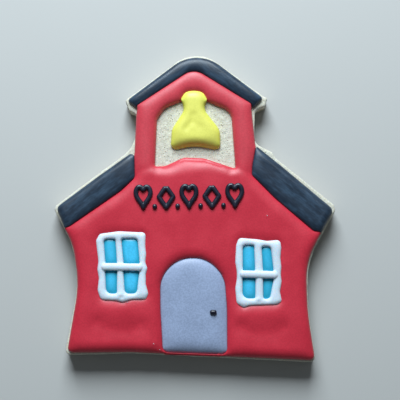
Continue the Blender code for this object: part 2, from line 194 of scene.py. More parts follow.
WINDOW_LEFT_OUTLINE = (
    (-30.6, -10.2, 1.2), (-29.8, -16.6, 2.0), (-30.1, -19.1, 1.6), (-29.6, -21.7, 3.0), (-30.0, -25.4, 3.0),
    (-29.0, -28.4, 1.6), (-24.5, -28.6, 2.0), (-22.1, -29.2, 1.6), (-19.7, -28.3, 3.0), (-15.1, -28.2, 0.9),
    (-14.4, -26.4, 1.2), (-15.2, -23.6, 3.0), (-15.2, -20.4, 1.5), (-14.7, -18.7, 0.9), (-15.4, -16.9, 1.5),
    (-15.1, -14.4, 3.0), (-15.4, -12.1, 3.0), (-15.3, -7.6, 1.2), (-17.6, -7.6, 6.0), (-23.6, -7.3, 6.0),
    (-29.5, -8.1, 1.2),
)
WINDOW_RIGHT_OUTLINE = (
    (12.5, -11.6, 1.5), (12.2, -16.9, 3.0), (12.7, -19.8, 2.0), (12.7, -21.8, 2.0), (12.2, -24.9, 4.0),
    (12.6, -29.4, 1.6), (14.8, -30.9, 1.2), (16.4, -30.1, 2.0), (19.6, -30.0, 8.0), (25.0, -29.8, 2.0),
    (26.5, -28.8, 1.0), (25.9, -25.9, 2.0), (26.45, -22.8, 2.0), (26.2, -20.6, 2.0), (26.4, -18.2, 3.0),
    (26.1, -15.6, 3.0), (26.4, -12.4, 3.0), (26.1, -9.9, 1.3), (22.0, -10.3, 3.0), (19.1, -9.8, 6.0),
    (13.3, -9.3, 1.3),
)

# Each window: its outline, its panes, the line of its bar, and lumps as (x, y, width, height)
WINDOWS = {
    "left": {
        "outline": WINDOW_LEFT_OUTLINE,
        "panes": (
            ((-28.2, -9.8, 0.9), (-27.6, -17.3, 0.4), (-24.1, -17.4, 0.4), (-24.7, -9.7, 0.5)),
            ((-22.8, -9.6, 0.6), (-22.0, -17.4, 0.4), (-17.1, -17.3, 0.4), (-17.9, -9.6, 1.0)),
            ((-27.7, -19.1, 0.4), (-27.3, -26.4, 2.2), (-24.1, -26.4, 0.5), (-24.1, -19.1, 0.4)),
            ((-22.1, -19.1, 0.4), (-21.6, -26.4, 1.2), (-18.0, -26.4, 1.2), (-17.2, -19.1, 0.4)),
        ),
        "bar": ((-28.9, -18.2), (-23.1, -18.25), (-16.1, -18.4)),
        "lumps": (
            (-29.4, -10.3, 0.8, 0.42), (-23.2, -26.6, 0.55, 0.5), (-22.4, -27.5, 0.45, -0.45),
            (-24.2, -27.5, 0.7, 0.25), (-15.5, -26.7, 0.8, 0.3), (-16.1, -9.0, 0.8, 0.25),
            (-15.7, -18.8, 0.7, 0.25), (-21.2, -28.2, 0.6, 0.3),
        ),
    },
    "right": {
        "outline": WINDOW_RIGHT_OUTLINE,
        "panes": (
            ((14.6, -11.6, 1.0), (14.6, -19.4, 0.4), (18.3, -19.5, 0.4), (18.0, -11.6, 0.6)),
            ((20.4, -12.0, 0.6), (20.8, -19.6, 0.4), (24.0, -19.6, 0.4), (23.1, -12.1, 1.0)),
            ((14.5, -21.5, 0.4), (14.5, -27.9, 2.4), (18.3, -27.9, 0.5), (18.4, -21.5, 0.4)),
            ((20.8, -21.5, 0.4), (20.8, -28.0, 0.6), (22.8, -28.0, 1.6), (24.0, -21.7, 0.4)),
        ),
        "bar": ((13.6, -20.4), (19.5, -20.55), (25.3, -20.7)),
        "lumps": (
            (13.6, -11.2, 0.8, 0.4), (14.6, -29.4, 0.9, 0.4), (19.1, -28.0, 0.55, 0.5),
            (19.7, -28.9, 0.45, -0.4), (25.4, -28.6, 0.8, 0.3), (13.2, -20.6, 0.7, 0.25),
            (16.0, -28.9, 0.7, -0.25),
        ),
    },
}

# The windows' frames and bars, then their panes, which run a little way under the frames
FRAME_INSET = -0.05
FRAME_TOP = 0.3
FRAME_SIDE = 1.8
FRAME_SHOULDER = 1.15
FRAME_FOOT = 0.7
BAR_RADIUS = 1.15
BEAD_FLAT = 0.6
PANE_SHOULDER = 1.8
PANE_EDGE = 0.9
PANE_HIDDEN = 0.45
PANE_RISE = 0.6

# The piped row over the door, as motifs with a dot low between each two
SIGN_MOTIFS = ("heart", "diamond", "heart", "diamond", "heart")
SIGN_MIDDLE = (-2.0, 3.4)
SIGN_LENGTH = 34.2
SIGN_TURN = math.radians(1.0)
MOTIF_WIDE = 6.0
MOTIF_TALL = 8.0
DOT_DROP = 2.9
DOT_RADIUS = 0.8
HEART_SPAN = 29.0
HEART_TIP = 17.0
HEART_NOTCH = 0.06
HEART_POINTS = 60
SIDE_POINTS = 14
BAR_POINTS = 12
SIGN_SUNK = 1.05

# The knob of the door, a dab
KNOB_AT = (5.45, -32.1)
KNOB_REACH = 1.1
KNOB_RISE = 0.1
KNOB_RADIUS = 0.78

# How a pool meets a neighbour: the height there, the width of its shoulder, and how sharply it turns
RED_AT_WINDOW = (1.62, 3.0, 0.6)
RED_AT_TOP_ROOF = (1.25, 3.8, 0.5)
RED_AT_SIDE_ROOF = (1.1, 4.6, 0.55)
RED_AT_DOOR = (1.1, 3.4, 0.6)
RED_AT_BELL = (0.5, 4.5, 0.75)
RED_AT_SILL = (0.3, 7.5, 0.62)
ROOF_AT_RED = (1.3, 2.2, 0.46)
DOOR_AT_RED = (0.95, 5.4, 0.55)
DOOR_AT_FOOT = (0.2, 4.2, 0.66)
BELL_AT_RED = (1.9, 2.8, 0.5)
BELL_AT_FOOT = (0.15, 3.6, 0.68)

# Shoulders at free edges, how far the red stops below its solid, and how far it runs under what is beside it
RED_SHOULDER = 3.4
ROOF_SHOULDER = 2.1
DOOR_SHOULDER = 3.4
BELL_SHOULDER = 2.5
RED_BELOW = 0.25
UNDER_FRAME = 0.5
UNDER_BELL = 0.9

# The red line under the door, which ends in a drop: its course and its widths
LINE_COURSE = ((-9.6, -44.75), (-2.0, -44.95), (5.6, -45.2), (7.9, -45.25))
LINE_RADII = (0.35, 0.4, 0.4, 0.45)
LINE_RISE = 0.1
DROP_AT = (7.1, -44.75)
DROP_RADIUS = 0.5
DROP_RISE = 0.35

# Low relief as strokes: the corners of a broken line, its width and its height; then burst bubbles
FRONT_RELIEF = (
    (((-30.5, -31.8), (-16.5, -32.6)), 2.0, 0.12),
    (((-29.5, -35.4), (-26.0, -37.2), (-20.5, -37.6), (-16.5, -36.2)), 2.2, -0.3),
    (((-34.0, -41.6), (-12.0, -42.0)), 2.2, 0.12),
    (((13.5, -33.3), (26.0, -32.9)), 2.0, 0.12),
    (((14.0, -36.8), (18.0, -38.2), (23.5, -38.2), (27.0, -36.8)), 2.2, -0.28),
    (((13.0, -43.0), (32.0, -43.6)), 2.2, 0.12),
    (((-4.6, 14.6), (-3.5, 15.05), (2.7, 14.75), (8.0, 13.05)), 0.3, -0.52),
    (((-19.5, 10.7), (-13.4, 12.7), (-11.6, 11.6)), 1.1, -0.13),
    (((19.0, 9.9), (13.0, 12.1), (11.0, 11.2)), 1.1, -0.13),
)
BELL_RELIEF = (
    (((-0.8, 28.9), (-1.1, 26.9), (-2.9, 24.7)), 0.95, -0.2),
    (((-0.6, 26.4), (1.4, 25.0)), 0.9, -0.08),
    (((-3.4, 21.4), (3.2, 21.6)), 2.2, 0.05),
)
PINHOLES = ((-12.61, -41.69), (-10.79, -43.52), (22.02, -2.62), (-20.92, -28.96))
PINHOLE_RADIUS = 0.26
PINHOLE_RINGS = (0.45, 1.0, 1.7)
PINHOLE_POINTS = 10
LIP_RISE = 0.06
LIP_WIDE = 0.45
PIT_DEEP = 0.14
PIT_WIDE = 0.5
# White dabs by the burst bubbles are painted highlights, standing for the light glinting on the bubbles'
# rims: where they sit and how big
BUBBLE_GLINTS = ((-12.75, -41.6), (-10.9, -43.45), (22.1, -2.5), (-20.8, -29.0))
GLINT_RADIUS = 0.17

# The roofs' slope, and the ridges left in each where its edge was piped first
ROOF_SLOPE = math.radians(-36.5)
BRUSH_LONG = 16.0
BRUSH_WIDE = 2.6
BRUSH_DEEP = 0.05
ROOFS = {
    "top": (ROOF_TOP_OUTLINE, (
        (((3.5, 46.6), (20.2, 34.6)), 0.55, 0.1),
        (((-4.5, 46.0), (-19.8, 34.2)), 0.6, 0.06),
    )),
    "left": (ROOF_LEFT_OUTLINE, ((((-20.6, 15.3), (-41.4, 0.2), (-39.6, -3.8)), 0.6, 0.08),)),
    "right": (ROOF_RIGHT_OUTLINE, ((((20.0, 16.4), (40.7, -0.8), (38.2, -5.0)), 0.5, 0.13),)),
}


def plan_middle(loop):
    """The middle of an outline's box"""
    return (loop.min(axis=0) + loop.max(axis=0)) / 2


def turned_inward(corners, inset):
    """Each corner moved in by the inset, with its radius, the directions of its two sides and its turn"""
    points = np.array([corner[:2] for corner in corners], float)
    radii = [corner[2] for corner in corners]
    moved = []
    for i, point in enumerate(points):
        before = points[i] - points[i - 1]
        after = points[(i + 1) % len(points)] - points[i]
        before /= np.linalg.norm(before)
        after /= np.linalg.norm(after)
        turn = before[0] * after[1] - before[1] * after[0]
        normal = np.array((-before[1] - after[1], before[0] + after[0]))
        normal /= 1.0 + before @ after
        radius = radii[i] - math.copysign(inset, turn)
        moved.append((point + inset * normal, max(radius, LEAST_RADIUS), before, after, turn))
    return moved


def outline(corners, step=RIM_STEP, inset=-OVERLAP):
    """Points along a closed line of straight sides joined by round corners"""
    moved = turned_inward(corners, inset)
    arcs = []
    for i, (point, radius, before, after, turn) in enumerate(moved):
        bend = math.acos(np.clip(before @ after, -1.0, 1.0))
        room = SIDE_SHARE * min(
            np.linalg.norm(point - moved[i - 1][0]),
            np.linalg.norm(moved[(i + 1) % len(moved)][0] - point),
        )
        reach = min(radius * math.tan(bend / 2), room)
        radius = reach / math.tan(bend / 2)
        side = math.copysign(1.0, turn)
        start = point - reach * before
        centre = start + side * radius * np.array((-before[1], before[0]))
        count = max(1, math.ceil(radius * bend / step), math.ceil(bend / ARC_TURN))
        angle = math.atan2(*(start - centre)[::-1])
        turns = angle + side * bend * np.arange(count + 1) / count
        arcs.append(centre + radius * np.column_stack((np.cos(turns), np.sin(turns))))
    line = []
    for i, arc in enumerate(arcs):
        line.extend(arc)
        gap = arcs[(i + 1) % len(arcs)][0] - arc[-1]
        count = max(1, round(np.linalg.norm(gap) / step))
        line.extend(arc[-1] + gap * share / count for share in range(1, count))
    return np.array(line) - MIDDLE


# Outlines are centred on the biscuit's box, whose middle is that of its own outline before centring
MIDDLE = np.zeros(2)
MIDDLE = plan_middle(outline(BISCUIT_OUTLINE, inset=0.0))


def top_of(node):
    """The highest point of a CAD node, in millimetres"""
    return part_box(node)[1].z / MM


def segment_distance(points, start, end):
    """How far each point is from one straight stretch"""
    side = end - start
    share = np.clip((points - start) @ side / max(side @ side, SAME_POINT), 0.0, 1.0)
    return np.linalg.norm(points - start - share[:, None] * side, axis=1)


def edge_distance(points, loops):
    """How far each point is from the nearest of the loops' sides"""
    nearest = np.full(len(points), np.inf)
    for loop in loops:
        for start, end in zip(loop, np.roll(loop, -1, axis=0)):
            nearest = np.minimum(nearest, segment_distance(points, start, end))
    return nearest


def within(points, loops):
    """Which points are inside the first loop and outside the others"""
    inside = np.zeros(len(points), bool)
    for loop in loops:
        for start, end in zip(loop, np.roll(loop, -1, axis=0)):
            spans = (start[1] > points[:, 1]) != (end[1] > points[:, 1])
            rise = end[1] - start[1] or 1.0
            crossing = start[0] + (points[:, 1] - start[1]) * (end[0] - start[0]) / rise
            inside ^= spans & (points[:, 0] < crossing)
    return inside


def spaced(points, gap, taken):
    """The points at least a gap apart from each other and from those taken, which they join"""
    kept = []
    for point in points:
        cell = (round(point[0] / RIM_STEP), round(point[1] / RIM_STEP))
        near = [
            other
            for i in (-1, 0, 1)
            for j in (-1, 0, 1)
            for other in taken.get((cell[0] + i, cell[1] + j), ())
        ]
        if all(math.hypot(point[0] - other[0], point[1] - other[1]) > gap for other in near):
            taken.setdefault(cell, []).append(point)
            kept.append(point)
    return kept


def rings(loops, depths):
    """Points set in from the loops at each depth, leaving out any that would crowd another"""
    kept = []
    taken = {}
    before = 0.0
    for depth in depths:
        gap = max(LEAST_SPREAD, RING_SPREAD * (depth - before))
        before = depth
        for loop in loops:
            sides = np.roll(loop, -1, axis=0) - np.roll(loop, 1, axis=0)
            sides /= np.linalg.norm(sides, axis=1)[:, None]
            inward = np.column_stack((-sides[:, 1], sides[:, 0]))
            for way in (1.0, -1.0):
                ring = loop + way * depth * inward
                good = within(ring, loops)
                good[good] = edge_distance(ring[good], loops) > RING_TRUE * depth
                kept.extend(spaced(ring[good], min(gap, RIM_STEP), taken))
    return np.array(kept).reshape(-1, 2)


def net(loops, step, margin):
    """A net of equal triangles' corners over the inside of the loops, clear of the edge by the margin"""
    low, high = loops[0].min(axis=0), loops[0].max(axis=0)
    rows = np.arange(low[1], high[1], step * math.sqrt(0.75))
    points = np.array([
        (x + (step / 2 if row % 2 else 0.0), y)
        for row, y in enumerate(rows)
        for x in np.arange(low[0], high[0], step)
    ]).reshape(-1, 2)
    points = points[within(points, loops)]
    return points[edge_distance(points, loops) > margin]


def triangulated(loops, inner):
    """Triangles over the inside of the loops, through all their points and the inner ones"""
    points = np.concatenate([*loops, inner])
    edges = []
    first = 0
    for loop in loops:
        edges += [(first + i, first + (i + 1) % len(loop)) for i in range(len(loop))]
        first += len(loop)
    flat, _, faces, *_ = delaunay_2d_cdt(points.tolist(), edges, [], 0, SAME_POINT)
    flat = np.array([tuple(point) for point in flat])
    middles = np.array([flat[list(face)].mean(axis=0) for face in faces])
    faces = [tuple(face) for face, keep in zip(faces, within(middles, loops)) if keep]
    return flat, faces


def open_edges(faces):
    """The directed edges that only one face has, which are the outline's"""
    edges = {(face[i], face[(i + 1) % 3]) for face in faces for i in range(3)}
    return sorted(edge for edge in edges if edge[::-1] not in edges)


def mesh_weights(flat, faces):
    """The pull between each two joined points of a flat mesh, from its angles, and each point's area"""
    corners = np.array(faces)
    starts, ends, pulls = [], [], []
    area = np.zeros(len(flat))
    for turn in range(3):
        i, j, k = corners[:, turn], corners[:, (turn + 1) % 3], corners[:, (turn + 2) % 3]
        first, second = flat[j] - flat[i], flat[k] - flat[i]
        twice = np.maximum(first[:, 0] * second[:, 1] - first[:, 1] * second[:, 0], SAME_POINT)
        pull = np.clip((first * second).sum(axis=1) / twice, -STEEPEST, STEEPEST) / 2
        starts += [j, k]
        ends += [k, j]
        pulls += [pull, pull]
        area += np.bincount(i, weights=twice / 6, minlength=len(flat))
    return np.concatenate(starts), np.concatenate(ends), np.concatenate(pulls), area


def spanned(weights, held, values, reach, target):
    """A smooth field over the mesh: as given where it is held, and going to the target within the reach"""
    starts, ends, pulls, area = weights
    size = len(values)
    spring = area / reach ** 2
    total = np.bincount(starts, weights=pulls, minlength=size) + spring

    def force(field):
        return total * field - np.bincount(starts, weights=pulls * field[ends], minlength=size)

    field = np.where(held, values, target)
    left = np.where(held, 0.0, spring * target - force(field))
    eased = left / total
    way = eased
    push = left @ eased
    goal = SOLVED * max(push, SAME_POINT)
    for _ in range(MOST_ROUNDS):
        if push < goal:
            break
        back = np.where(held, 0.0, force(way))
        step = push / (way @ back)
        field = field + step * way
        left = left - step * back
        eased = left / total
        push, before = left @ eased, push
        way = eased + push / before * way
    return field


def line_distance(points, corners):
    """How far each point is from a broken line given in the outlines' coordinates"""
    line = np.array(corners) - MIDDLE
    return np.min([segment_distance(points, start, end) for start, end in zip(line, line[1:])], axis=0)


def strokes(flat, relief):
    """The height of low relief laid on as strokes"""
    total = np.zeros(len(flat))
    for corners, wide, tall in relief:
        total += tall * np.exp(-(line_distance(flat, corners) / wide) ** 2)
    return total


def rolling(points, size, seed):
    """Smooth unevenness from -1 to 1, of about the given size"""
    return np.array([
        noise.noise(Vector((x / size, y / size, z / size + seed)))
        for x, y, z in np.column_stack((points, np.zeros((len(points), 3 - points.shape[1]))))
    ])


def crown(distance, thick, shoulder, edge, sharpness):
    """Height of an icing above its base, at a distance in from its edge"""
    away = np.clip(1.0 - distance / shoulder, 0.0, 1.0)
    return edge + (thick - edge) * (1.0 - away * away) ** sharpness


def solid(name, shape, paint):
    """An object of its own for one closed shape, in metres, smooth all over, with its depth attribute"""
    vertices, faces, depth = shape
    mesh = bpy.data.meshes.new(name)
    mesh.from_pydata((np.asarray(vertices) * MM).tolist(), [], faces)
    mesh.attributes.new("depth", "FLOAT", "POINT").data.foreach_set("value", depth)
    mesh.shade_smooth()
    mesh.materials.append(paint)
    piece = bpy.data.objects.new(name, mesh)
    bpy.context.scene.collection.objects.link(piece)
    return piece


def flooded(loops, thick, shoulder, foot, seams=(), relief=None, extra=(), step=NET_STEP, edge=FREE_EDGE):
    """The closed shape of a pool of icing over the loops: its points, faces and how far in each point is

    Each seam is a loop that the pool meets and how it meets it.
    """
    base = base_height()
    inner = np.concatenate([rings(loops, RING_DEPTHS), net(loops, step, RING_DEPTHS[-1] + step / 2)])
    if len(extra):
        extra = extra[within(extra, loops)]
        inner = np.concatenate([inner[edge_distance(inner, [extra]) > PINHOLE_RADIUS], extra])
    flat, faces = triangulated(loops, inner)
    rim = np.arange(len(flat)) < sum(len(loop) for loop in loops)
    weights = mesh_weights(flat, faces)
    inward = spanned(weights, rim, np.zeros(len(flat)), PILLOW, 1.0)
    depth = -PILLOW * np.log(np.maximum(1.0 - inward, SAME_POINT))
    fields = np.tile((edge, shoulder, FREE_SHARPNESS), (len(flat), 1))
    for loop, meeting in seams:
        share = np.clip(1.0 - edge_distance(flat[rim], [loop]) / SEAM_FADE, 0.0, 1.0)
        share = (share * share * (3.0 - 2.0 * share))[:, None]
        fields[rim] += (np.array(meeting) - fields[rim]) * share
    edges, widths, sharp = (spanned(weights, rim, field, SEAM_REACH, field[rim].mean()) for field in fields.T)
    heights = crown(depth, thick, widths, edges, sharp)
    if relief is not None:
        calm = np.clip(depth / CALM_EDGE, 0.0, 1.0)
        heights = heights + relief(flat) * calm * calm * (3.0 - 2.0 * calm)
    bottom, feet = triangulated(loops, np.empty((0, 2)))
    count = len(flat)
    vertices = np.concatenate([
        np.column_stack((flat, base + heights)),
        np.column_stack((bottom, np.full(len(bottom), foot))),
    ])
    feet = [tuple(count + i for i in reversed(face)) for face in feet]
    sides = [(b, a, a + count, b + count) for a, b in open_edges(faces)]
    return vertices, faces + feet + sides, np.concatenate([depth, np.zeros(len(bottom))])


def together(shapes):
    """Several closed shapes as one"""
    vertices, faces, depth = [], [], []
    for points, sides, inward in shapes:
        faces += [tuple(len(vertices) + i for i in side) for side in sides]
        vertices.extend(points)
        depth.extend(inward)
    return np.array(vertices), faces, depth


def dab(spot, height, reach, radius):
    """A short level line for one dab of icing"""
    line = [(spot[0] + way * reach, spot[1], height) for way in (-1.0, 0.0, 1.0)]
    return np.array(line), [radius] * len(line), False


def lying(shape, spot):
    """A place in the outlines' coordinates, as a point on a shape's surface"""
    place = np.array(spot) - MIDDLE
    points = shape[0]
    near = np.linalg.norm(points[:, :2] - place, axis=1)
    return (*place, points[near < near.min() + NEARBY, 2].max())


def settle(piece, *nodes, slot):
    """Ties a finished piece to the body and hides the CAD nodes it stands for; the slot it is given is not
    used
    """
    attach(piece, BODY)
    if nodes:
        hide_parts(*nodes)
    return piece


# Materials

def plug(tree, socket, value):
    """Links a socket to another, or sets it to a value"""
    if isinstance(value, bpy.types.NodeSocket):
        tree.links.new(value, socket)
    else:
        socket.default_value = value


def shader_node(tree, kind, **values):
    """A shader node with its sockets set or linked by name"""
    made = tree.nodes.new(kind)
    for name, value in values.items():
        plug(tree, made.inputs[name.replace("_", " ")], value)
    return made


def spread(tree, value, low, high, out_low=0.0, out_high=1.0):
    """A value's range turned to another, with smooth ends"""
    ranged = shader_node(
        tree, "ShaderNodeMapRange",
        Value=value, From_Min=low, From_Max=high, To_Min=out_low, To_Max=out_high,
    )
    ranged.interpolation_type = "SMOOTHSTEP"
    return ranged.outputs["Result"]


def blended(tree, share, first, second):
    """Two colours mixed by a share, each a colour or a socket"""
    mix = tree.nodes.new("ShaderNodeMix")
    mix.data_type = "RGBA"
    plug(tree, mix.inputs[0], share)
    for socket, colour in ((mix.inputs[6], first), (mix.inputs[7], second)):
        plug(tree, socket, colour if isinstance(colour, bpy.types.NodeSocket) else (*colour, 1.0))
    return mix.outputs[2]


def grain(tree, coordinates, size, detail=2.0, roughness=0.5):
    """Noise of about the given size in millimetres"""
    return shader_node(
        tree, "ShaderNodeTexNoise",
        Vector=coordinates, Scale=1.0 / (size * MM), Detail=detail, Roughness=roughness,
    ).outputs["Fac"]


def new_material(name):
    """An empty material, its Principled shader and its Object coordinates"""
    made = bpy.data.materials.new(name)
    made.use_nodes = True
    tree = made.node_tree
    return made, tree, tree.nodes["Principled BSDF"], tree.nodes.new("ShaderNodeTexCoord").outputs["Object"]


def rippled(tree, height, depth, strength, before=None):
    """A bump of a depth in millimetres"""
    made = shader_node(tree, "ShaderNodeBump", Strength=strength, Distance=depth * MM, Height=height)
    if before is not None:
        tree.links.new(before, made.inputs["Normal"])
    return made.outputs["Normal"]


def toned(colour, factor):
    """A colour made lighter or darker"""
    return tuple(min(1.0, channel * factor) for channel in colour)


# The icing's finish: the sizes of its clouds, flecks, swells and wisps of haze, whose paler tone is partly
# painted sheen, where a thin rim's colour fades inward (painted shade on the panes, painted light on the
# bell's edge), where the tower's painted sheen sets in going up (in metres), and the pull of the roofs'
# streaks
CLOUD_SIZE = 7.0
FLECK_SIZE = 0.5
SWELL_SIZE = 2.4
HAZE_SIZE = 2.2
PAINTED_RIM_FADE = (0.35, 1.25)
PAINTED_SHEEN_FADE = (8.0 * MM, 17.0 * MM)
STREAK_STRETCH = (0.3, 1.0, 1.0)


def icing_material(
    name, colour, gloss=(0.34, 0.43), mottle=0.05, fleck=0.07, depth=0.022, glow=0.0, reach=0.8, shine=0.32,
    streak=None, haze=None, rim=None, upper=None,
):
    """Dried royal icing: satin, a little mottled and faintly pitted

    It may let light in, be streaked down the roofs' slopes under a haze whose paler tone is partly painted
    sheen, take another colour near its rim (painted shade on the panes, painted light on the bell), and take
    a painted sheen up the tower, paler there where the light falls brighter.
    """
    made, tree, shader, place = new_material(name)
    if streak is not None:
        parts = shader_node(tree, "ShaderNodeSeparateXYZ", Vector=place).outputs
        place = shader_node(
            tree, "ShaderNodeCombineXYZ", X=worked(tree, "ABSOLUTE", parts[0]), Y=parts[1], Z=parts[2],
        ).outputs[0]
        place = shader_node(tree, "ShaderNodeMapping", Vector=place, Rotation=(0.0, 0.0, -streak)).outputs[0]
        place = shader_node(tree, "ShaderNodeMapping", Vector=place, Scale=STREAK_STRETCH).outputs[0]
    clouds = grain(tree, place, CLOUD_SIZE, 3.0, 0.55)
    flecks = grain(tree, place, FLECK_SIZE, 2.0)
    cloudy = spread(tree, clouds, 0.3, 0.7)
    tone = blended(tree, cloudy, toned(colour, 1.0 - mottle), toned(colour, 1.0 + mottle))
    # Painted sheen: the upper colour, a paler red, blends in going up the tower where the light falls
    # brighter
    if upper is not None:
        up = shader_node(tree, "ShaderNodeSeparateXYZ", Vector=place).outputs[1]
        tone = blended(tree, spread(tree, up, *PAINTED_SHEEN_FADE), tone, upper)
    # Paler wisps down the roofs, partly the icing's own streaks and partly painted sheen from the light
    if haze is not None:
        wisps = grain(tree, place, HAZE_SIZE, 4.0, 0.6)
        tone = blended(tree, spread(tree, wisps, 0.38, 0.72), tone, haze)
    tone = shader_node(
        tree, "ShaderNodeHueSaturation",
        Color=tone, Value=spread(tree, flecks, 0.3, 0.7, 1.0 - fleck, 1.0 + fleck),
    ).outputs[0]
    # The rim colour is painted: shade where the panes meet their frames, light along the bell's edge
    if rim is not None:
        inward = tree.nodes.new("ShaderNodeAttribute")
        inward.attribute_name = "depth"
        tone = blended(tree, spread(tree, inward.outputs["Fac"], *PAINTED_RIM_FADE, 1.0, 0.0), tone, rim)
    tree.links.new(tone, shader.inputs["Base Color"])
    tree.links.new(spread(tree, clouds, 0.3, 0.7, *gloss), shader.inputs["Roughness"])
    broad = rippled(tree, grain(tree, place, SWELL_SIZE, 2.0), 2.5 * depth, 0.5)
    tree.links.new(rippled(tree, flecks, depth, 0.6, broad), shader.inputs["Normal"])
    shader.inputs["Subsurface Weight"].default_value = glow
    shader.inputs["Subsurface Radius"].default_value = (1.0, 0.5, 0.4)
    shader.inputs["Subsurface Scale"].default_value = reach * MM
    shader.inputs["Specular IOR Level"].default_value = shine
    return made


def crumb_material(pale, baked):
    """Baked sugar dough: dry and sandy, pale on top and golden where its browning attribute rises"""
    made, tree, shader, place = new_material("baked_crumb")
    browning = tree.nodes.new("ShaderNodeAttribute")
    browning.attribute_name = "browning"
    sand = grain(tree, place, 0.42, 2.0, 0.6)
    patches = grain(tree, place, 3.0, 3.0)
    tone = blended(tree, browning.outputs["Fac"], pale, baked)
    tone = blended(tree, spread(tree, patches, 0.4, 0.75, 0.0, 0.14), tone, toned(baked, 1.2))
    tone = blended(tree, spread(tree, sand, 0.54, 0.72, 0.0, 0.3), tone, toned(baked, 0.75))
    tone = shader_node(
        tree, "ShaderNodeHueSaturation", Color=tone, Value=spread(tree, sand, 0.3, 0.5, 1.17, 0.98),
    ).outputs[0]
    tree.links.new(tone, shader.inputs["Base Color"])
    shader.inputs["Roughness"].default_value = 0.86
    shader.inputs["Specular IOR Level"].default_value = 0.25
    broad = rippled(tree, grain(tree, place, 1.0, 2.0), 0.1, 0.6)
    tree.links.new(rippled(tree, sand, 0.12, 0.9, broad), shader.inputs["Normal"])
    shader.inputs["Subsurface Weight"].default_value = 0.1
    shader.inputs["Subsurface Radius"].default_value = (1.0, 0.7, 0.4)
    shader.inputs["Subsurface Scale"].default_value = 0.6 * MM
    return made


def table_material(colour):
    """A plain pale table top"""
    made, tree, shader, place = new_material("pale_table")
    tone = blended(tree, grain(tree, place, 60.0), toned(colour, 0.985), toned(colour, 1.015))
    tree.links.new(tone, shader.inputs["Base Color"])
    shader.inputs["Roughness"].default_value = 0.8
    return made


# Geometry Nodes

def tree_with(name, inputs):
    """A Geometry Nodes tree with a mesh going in, named inputs, and a mesh coming out"""
    tree = bpy.data.node_groups.new(name, "GeometryNodeTree")
    tree.is_modifier = True
    tree.interface.new_socket("Mesh", in_out="INPUT", socket_type="NodeSocketGeometry")
    for label, kind, value in inputs:
        socket = tree.interface.new_socket(label, in_out="INPUT", socket_type=kind)
        if value is not None:
            socket.default_value = value
    tree.interface.new_socket("Mesh", in_out="OUTPUT", socket_type="NodeSocketGeometry")
    return tree, tree.nodes.new("NodeGroupInput").outputs, tree.nodes.new("NodeGroupOutput").inputs["Mesh"]


def joined(tree, kind, links=(), **settings):
    """A geometry node with its properties set, and its sockets linked or set by name or place"""
    made = tree.nodes.new(kind)
    for name, value in settings.items():
        setattr(made, name, value)
    for socket, value in links:
        plug(tree, made.inputs[socket], value)
    return made


def worked(tree, operation, *values):
    """The result of one sum on values or sockets"""
    return joined(tree, "ShaderNodeMath", enumerate(values), operation=operation).outputs[0]


def finished_tree(tree, shape, material, out):
    """Ends a tree by realizing instances and setting the material"""
    real = joined(tree, "GeometryNodeRealizeInstances", [("Geometry", shape)]).outputs[0]
    painted = joined(tree, "GeometryNodeSetMaterial", [("Geometry", real), ("Material", material)]).outputs[0]
    tree.links.new(painted, out)


def bead_tree():
    """Piped beads: a tube along each line, as wide as its points say, uneven as by hand, with round ends"""
    tree, given, out = tree_with("Piped bead", (
        ("Spacing", "NodeSocketFloat", 0.00015),
        ("Sides", "NodeSocketInt", 18),
        ("Height Share", "NodeSocketFloat", 0.9),
        ("Unevenness", "NodeSocketFloat", 0.05),
        ("Unevenness Size", "NodeSocketFloat", 0.002),
        ("Seed", "NodeSocketFloat", 1.0),
        ("Icing", "NodeSocketMaterial", None),
    ))
    curve = joined(tree, "GeometryNodeMeshToCurve", [("Mesh", given["Mesh"])]).outputs[0]
    curve = joined(
        tree, "GeometryNodeResampleCurve", [("Curve", curve), ("Length", given["Spacing"])], mode="LENGTH",
    ).outputs[0]
    curve = joined(tree, "GeometryNodeSetCurveNormal", [("Curve", curve)], mode="Z_UP").outputs[0]
    width = joined(tree, "GeometryNodeInputNamedAttribute", [("Name", "bead_radius")]).outputs["Attribute"]
    along = tree.nodes.new("GeometryNodeSplineParameter").outputs["Length"]
    length = tree.nodes.new("GeometryNodeSplineLength").outputs["Length"]
    cyclic = tree.nodes.new("GeometryNodeInputSplineCyclic").outputs["Cyclic"]
    near_end = worked(tree, "MINIMUM", along, worked(tree, "SUBTRACT", length, along))
    in_share = worked(tree, "MINIMUM", worked(tree, "DIVIDE", near_end, width), 1.0)
    in_share = worked(tree, "MAXIMUM", in_share, cyclic)
    short = worked(tree, "SUBTRACT", 1.0, in_share)
    end_round = worked(tree, "SQRT", worked(tree, "SUBTRACT", 1.0, worked(tree, "MULTIPLY", short, short)))
    bumps = joined(tree, "ShaderNodeTexNoise", [
        ("Vector", joined(tree, "GeometryNodeInputPosition").outputs[0]),
        ("W", given["Seed"]),
        ("Scale", worked(tree, "DIVIDE", 1.0, given["Unevenness Size"])),
        ("Detail", 1.0),
    ], noise_dimensions="4D").outputs["Fac"]
    swing = worked(tree, "MULTIPLY", worked(tree, "SUBTRACT", bumps, 0.5), 2.0)
    uneven = worked(tree, "ADD", 1.0, worked(tree, "MULTIPLY", swing, given["Unevenness"]))
    radius = worked(tree, "MULTIPLY", worked(tree, "MULTIPLY", width, uneven), end_round)
    profile = joined(
        tree, "GeometryNodeCurvePrimitiveCircle", [("Resolution", given["Sides"]), ("Radius", 1.0)],
    ).outputs[0]
    flatness = joined(
        tree, "ShaderNodeCombineXYZ", [("X", 1.0), ("Y", given["Height Share"]), ("Z", 1.0)],
    ).outputs[0]
    profile = joined(tree, "GeometryNodeTransform", [("Geometry", profile), ("Scale", flatness)]).outputs[0]
    tube = joined(tree, "GeometryNodeCurveToMesh", [
        ("Curve", curve), ("Profile Curve", profile), ("Scale", radius), ("Fill Caps", True),
    ]).outputs[0]
    tube = joined(
        tree, "GeometryNodeMergeByDistance", [("Geometry", tube), ("Distance", 0.000005)],
    ).outputs[0]
    finished_tree(tree, tube, given["Icing"], out)
    return tree


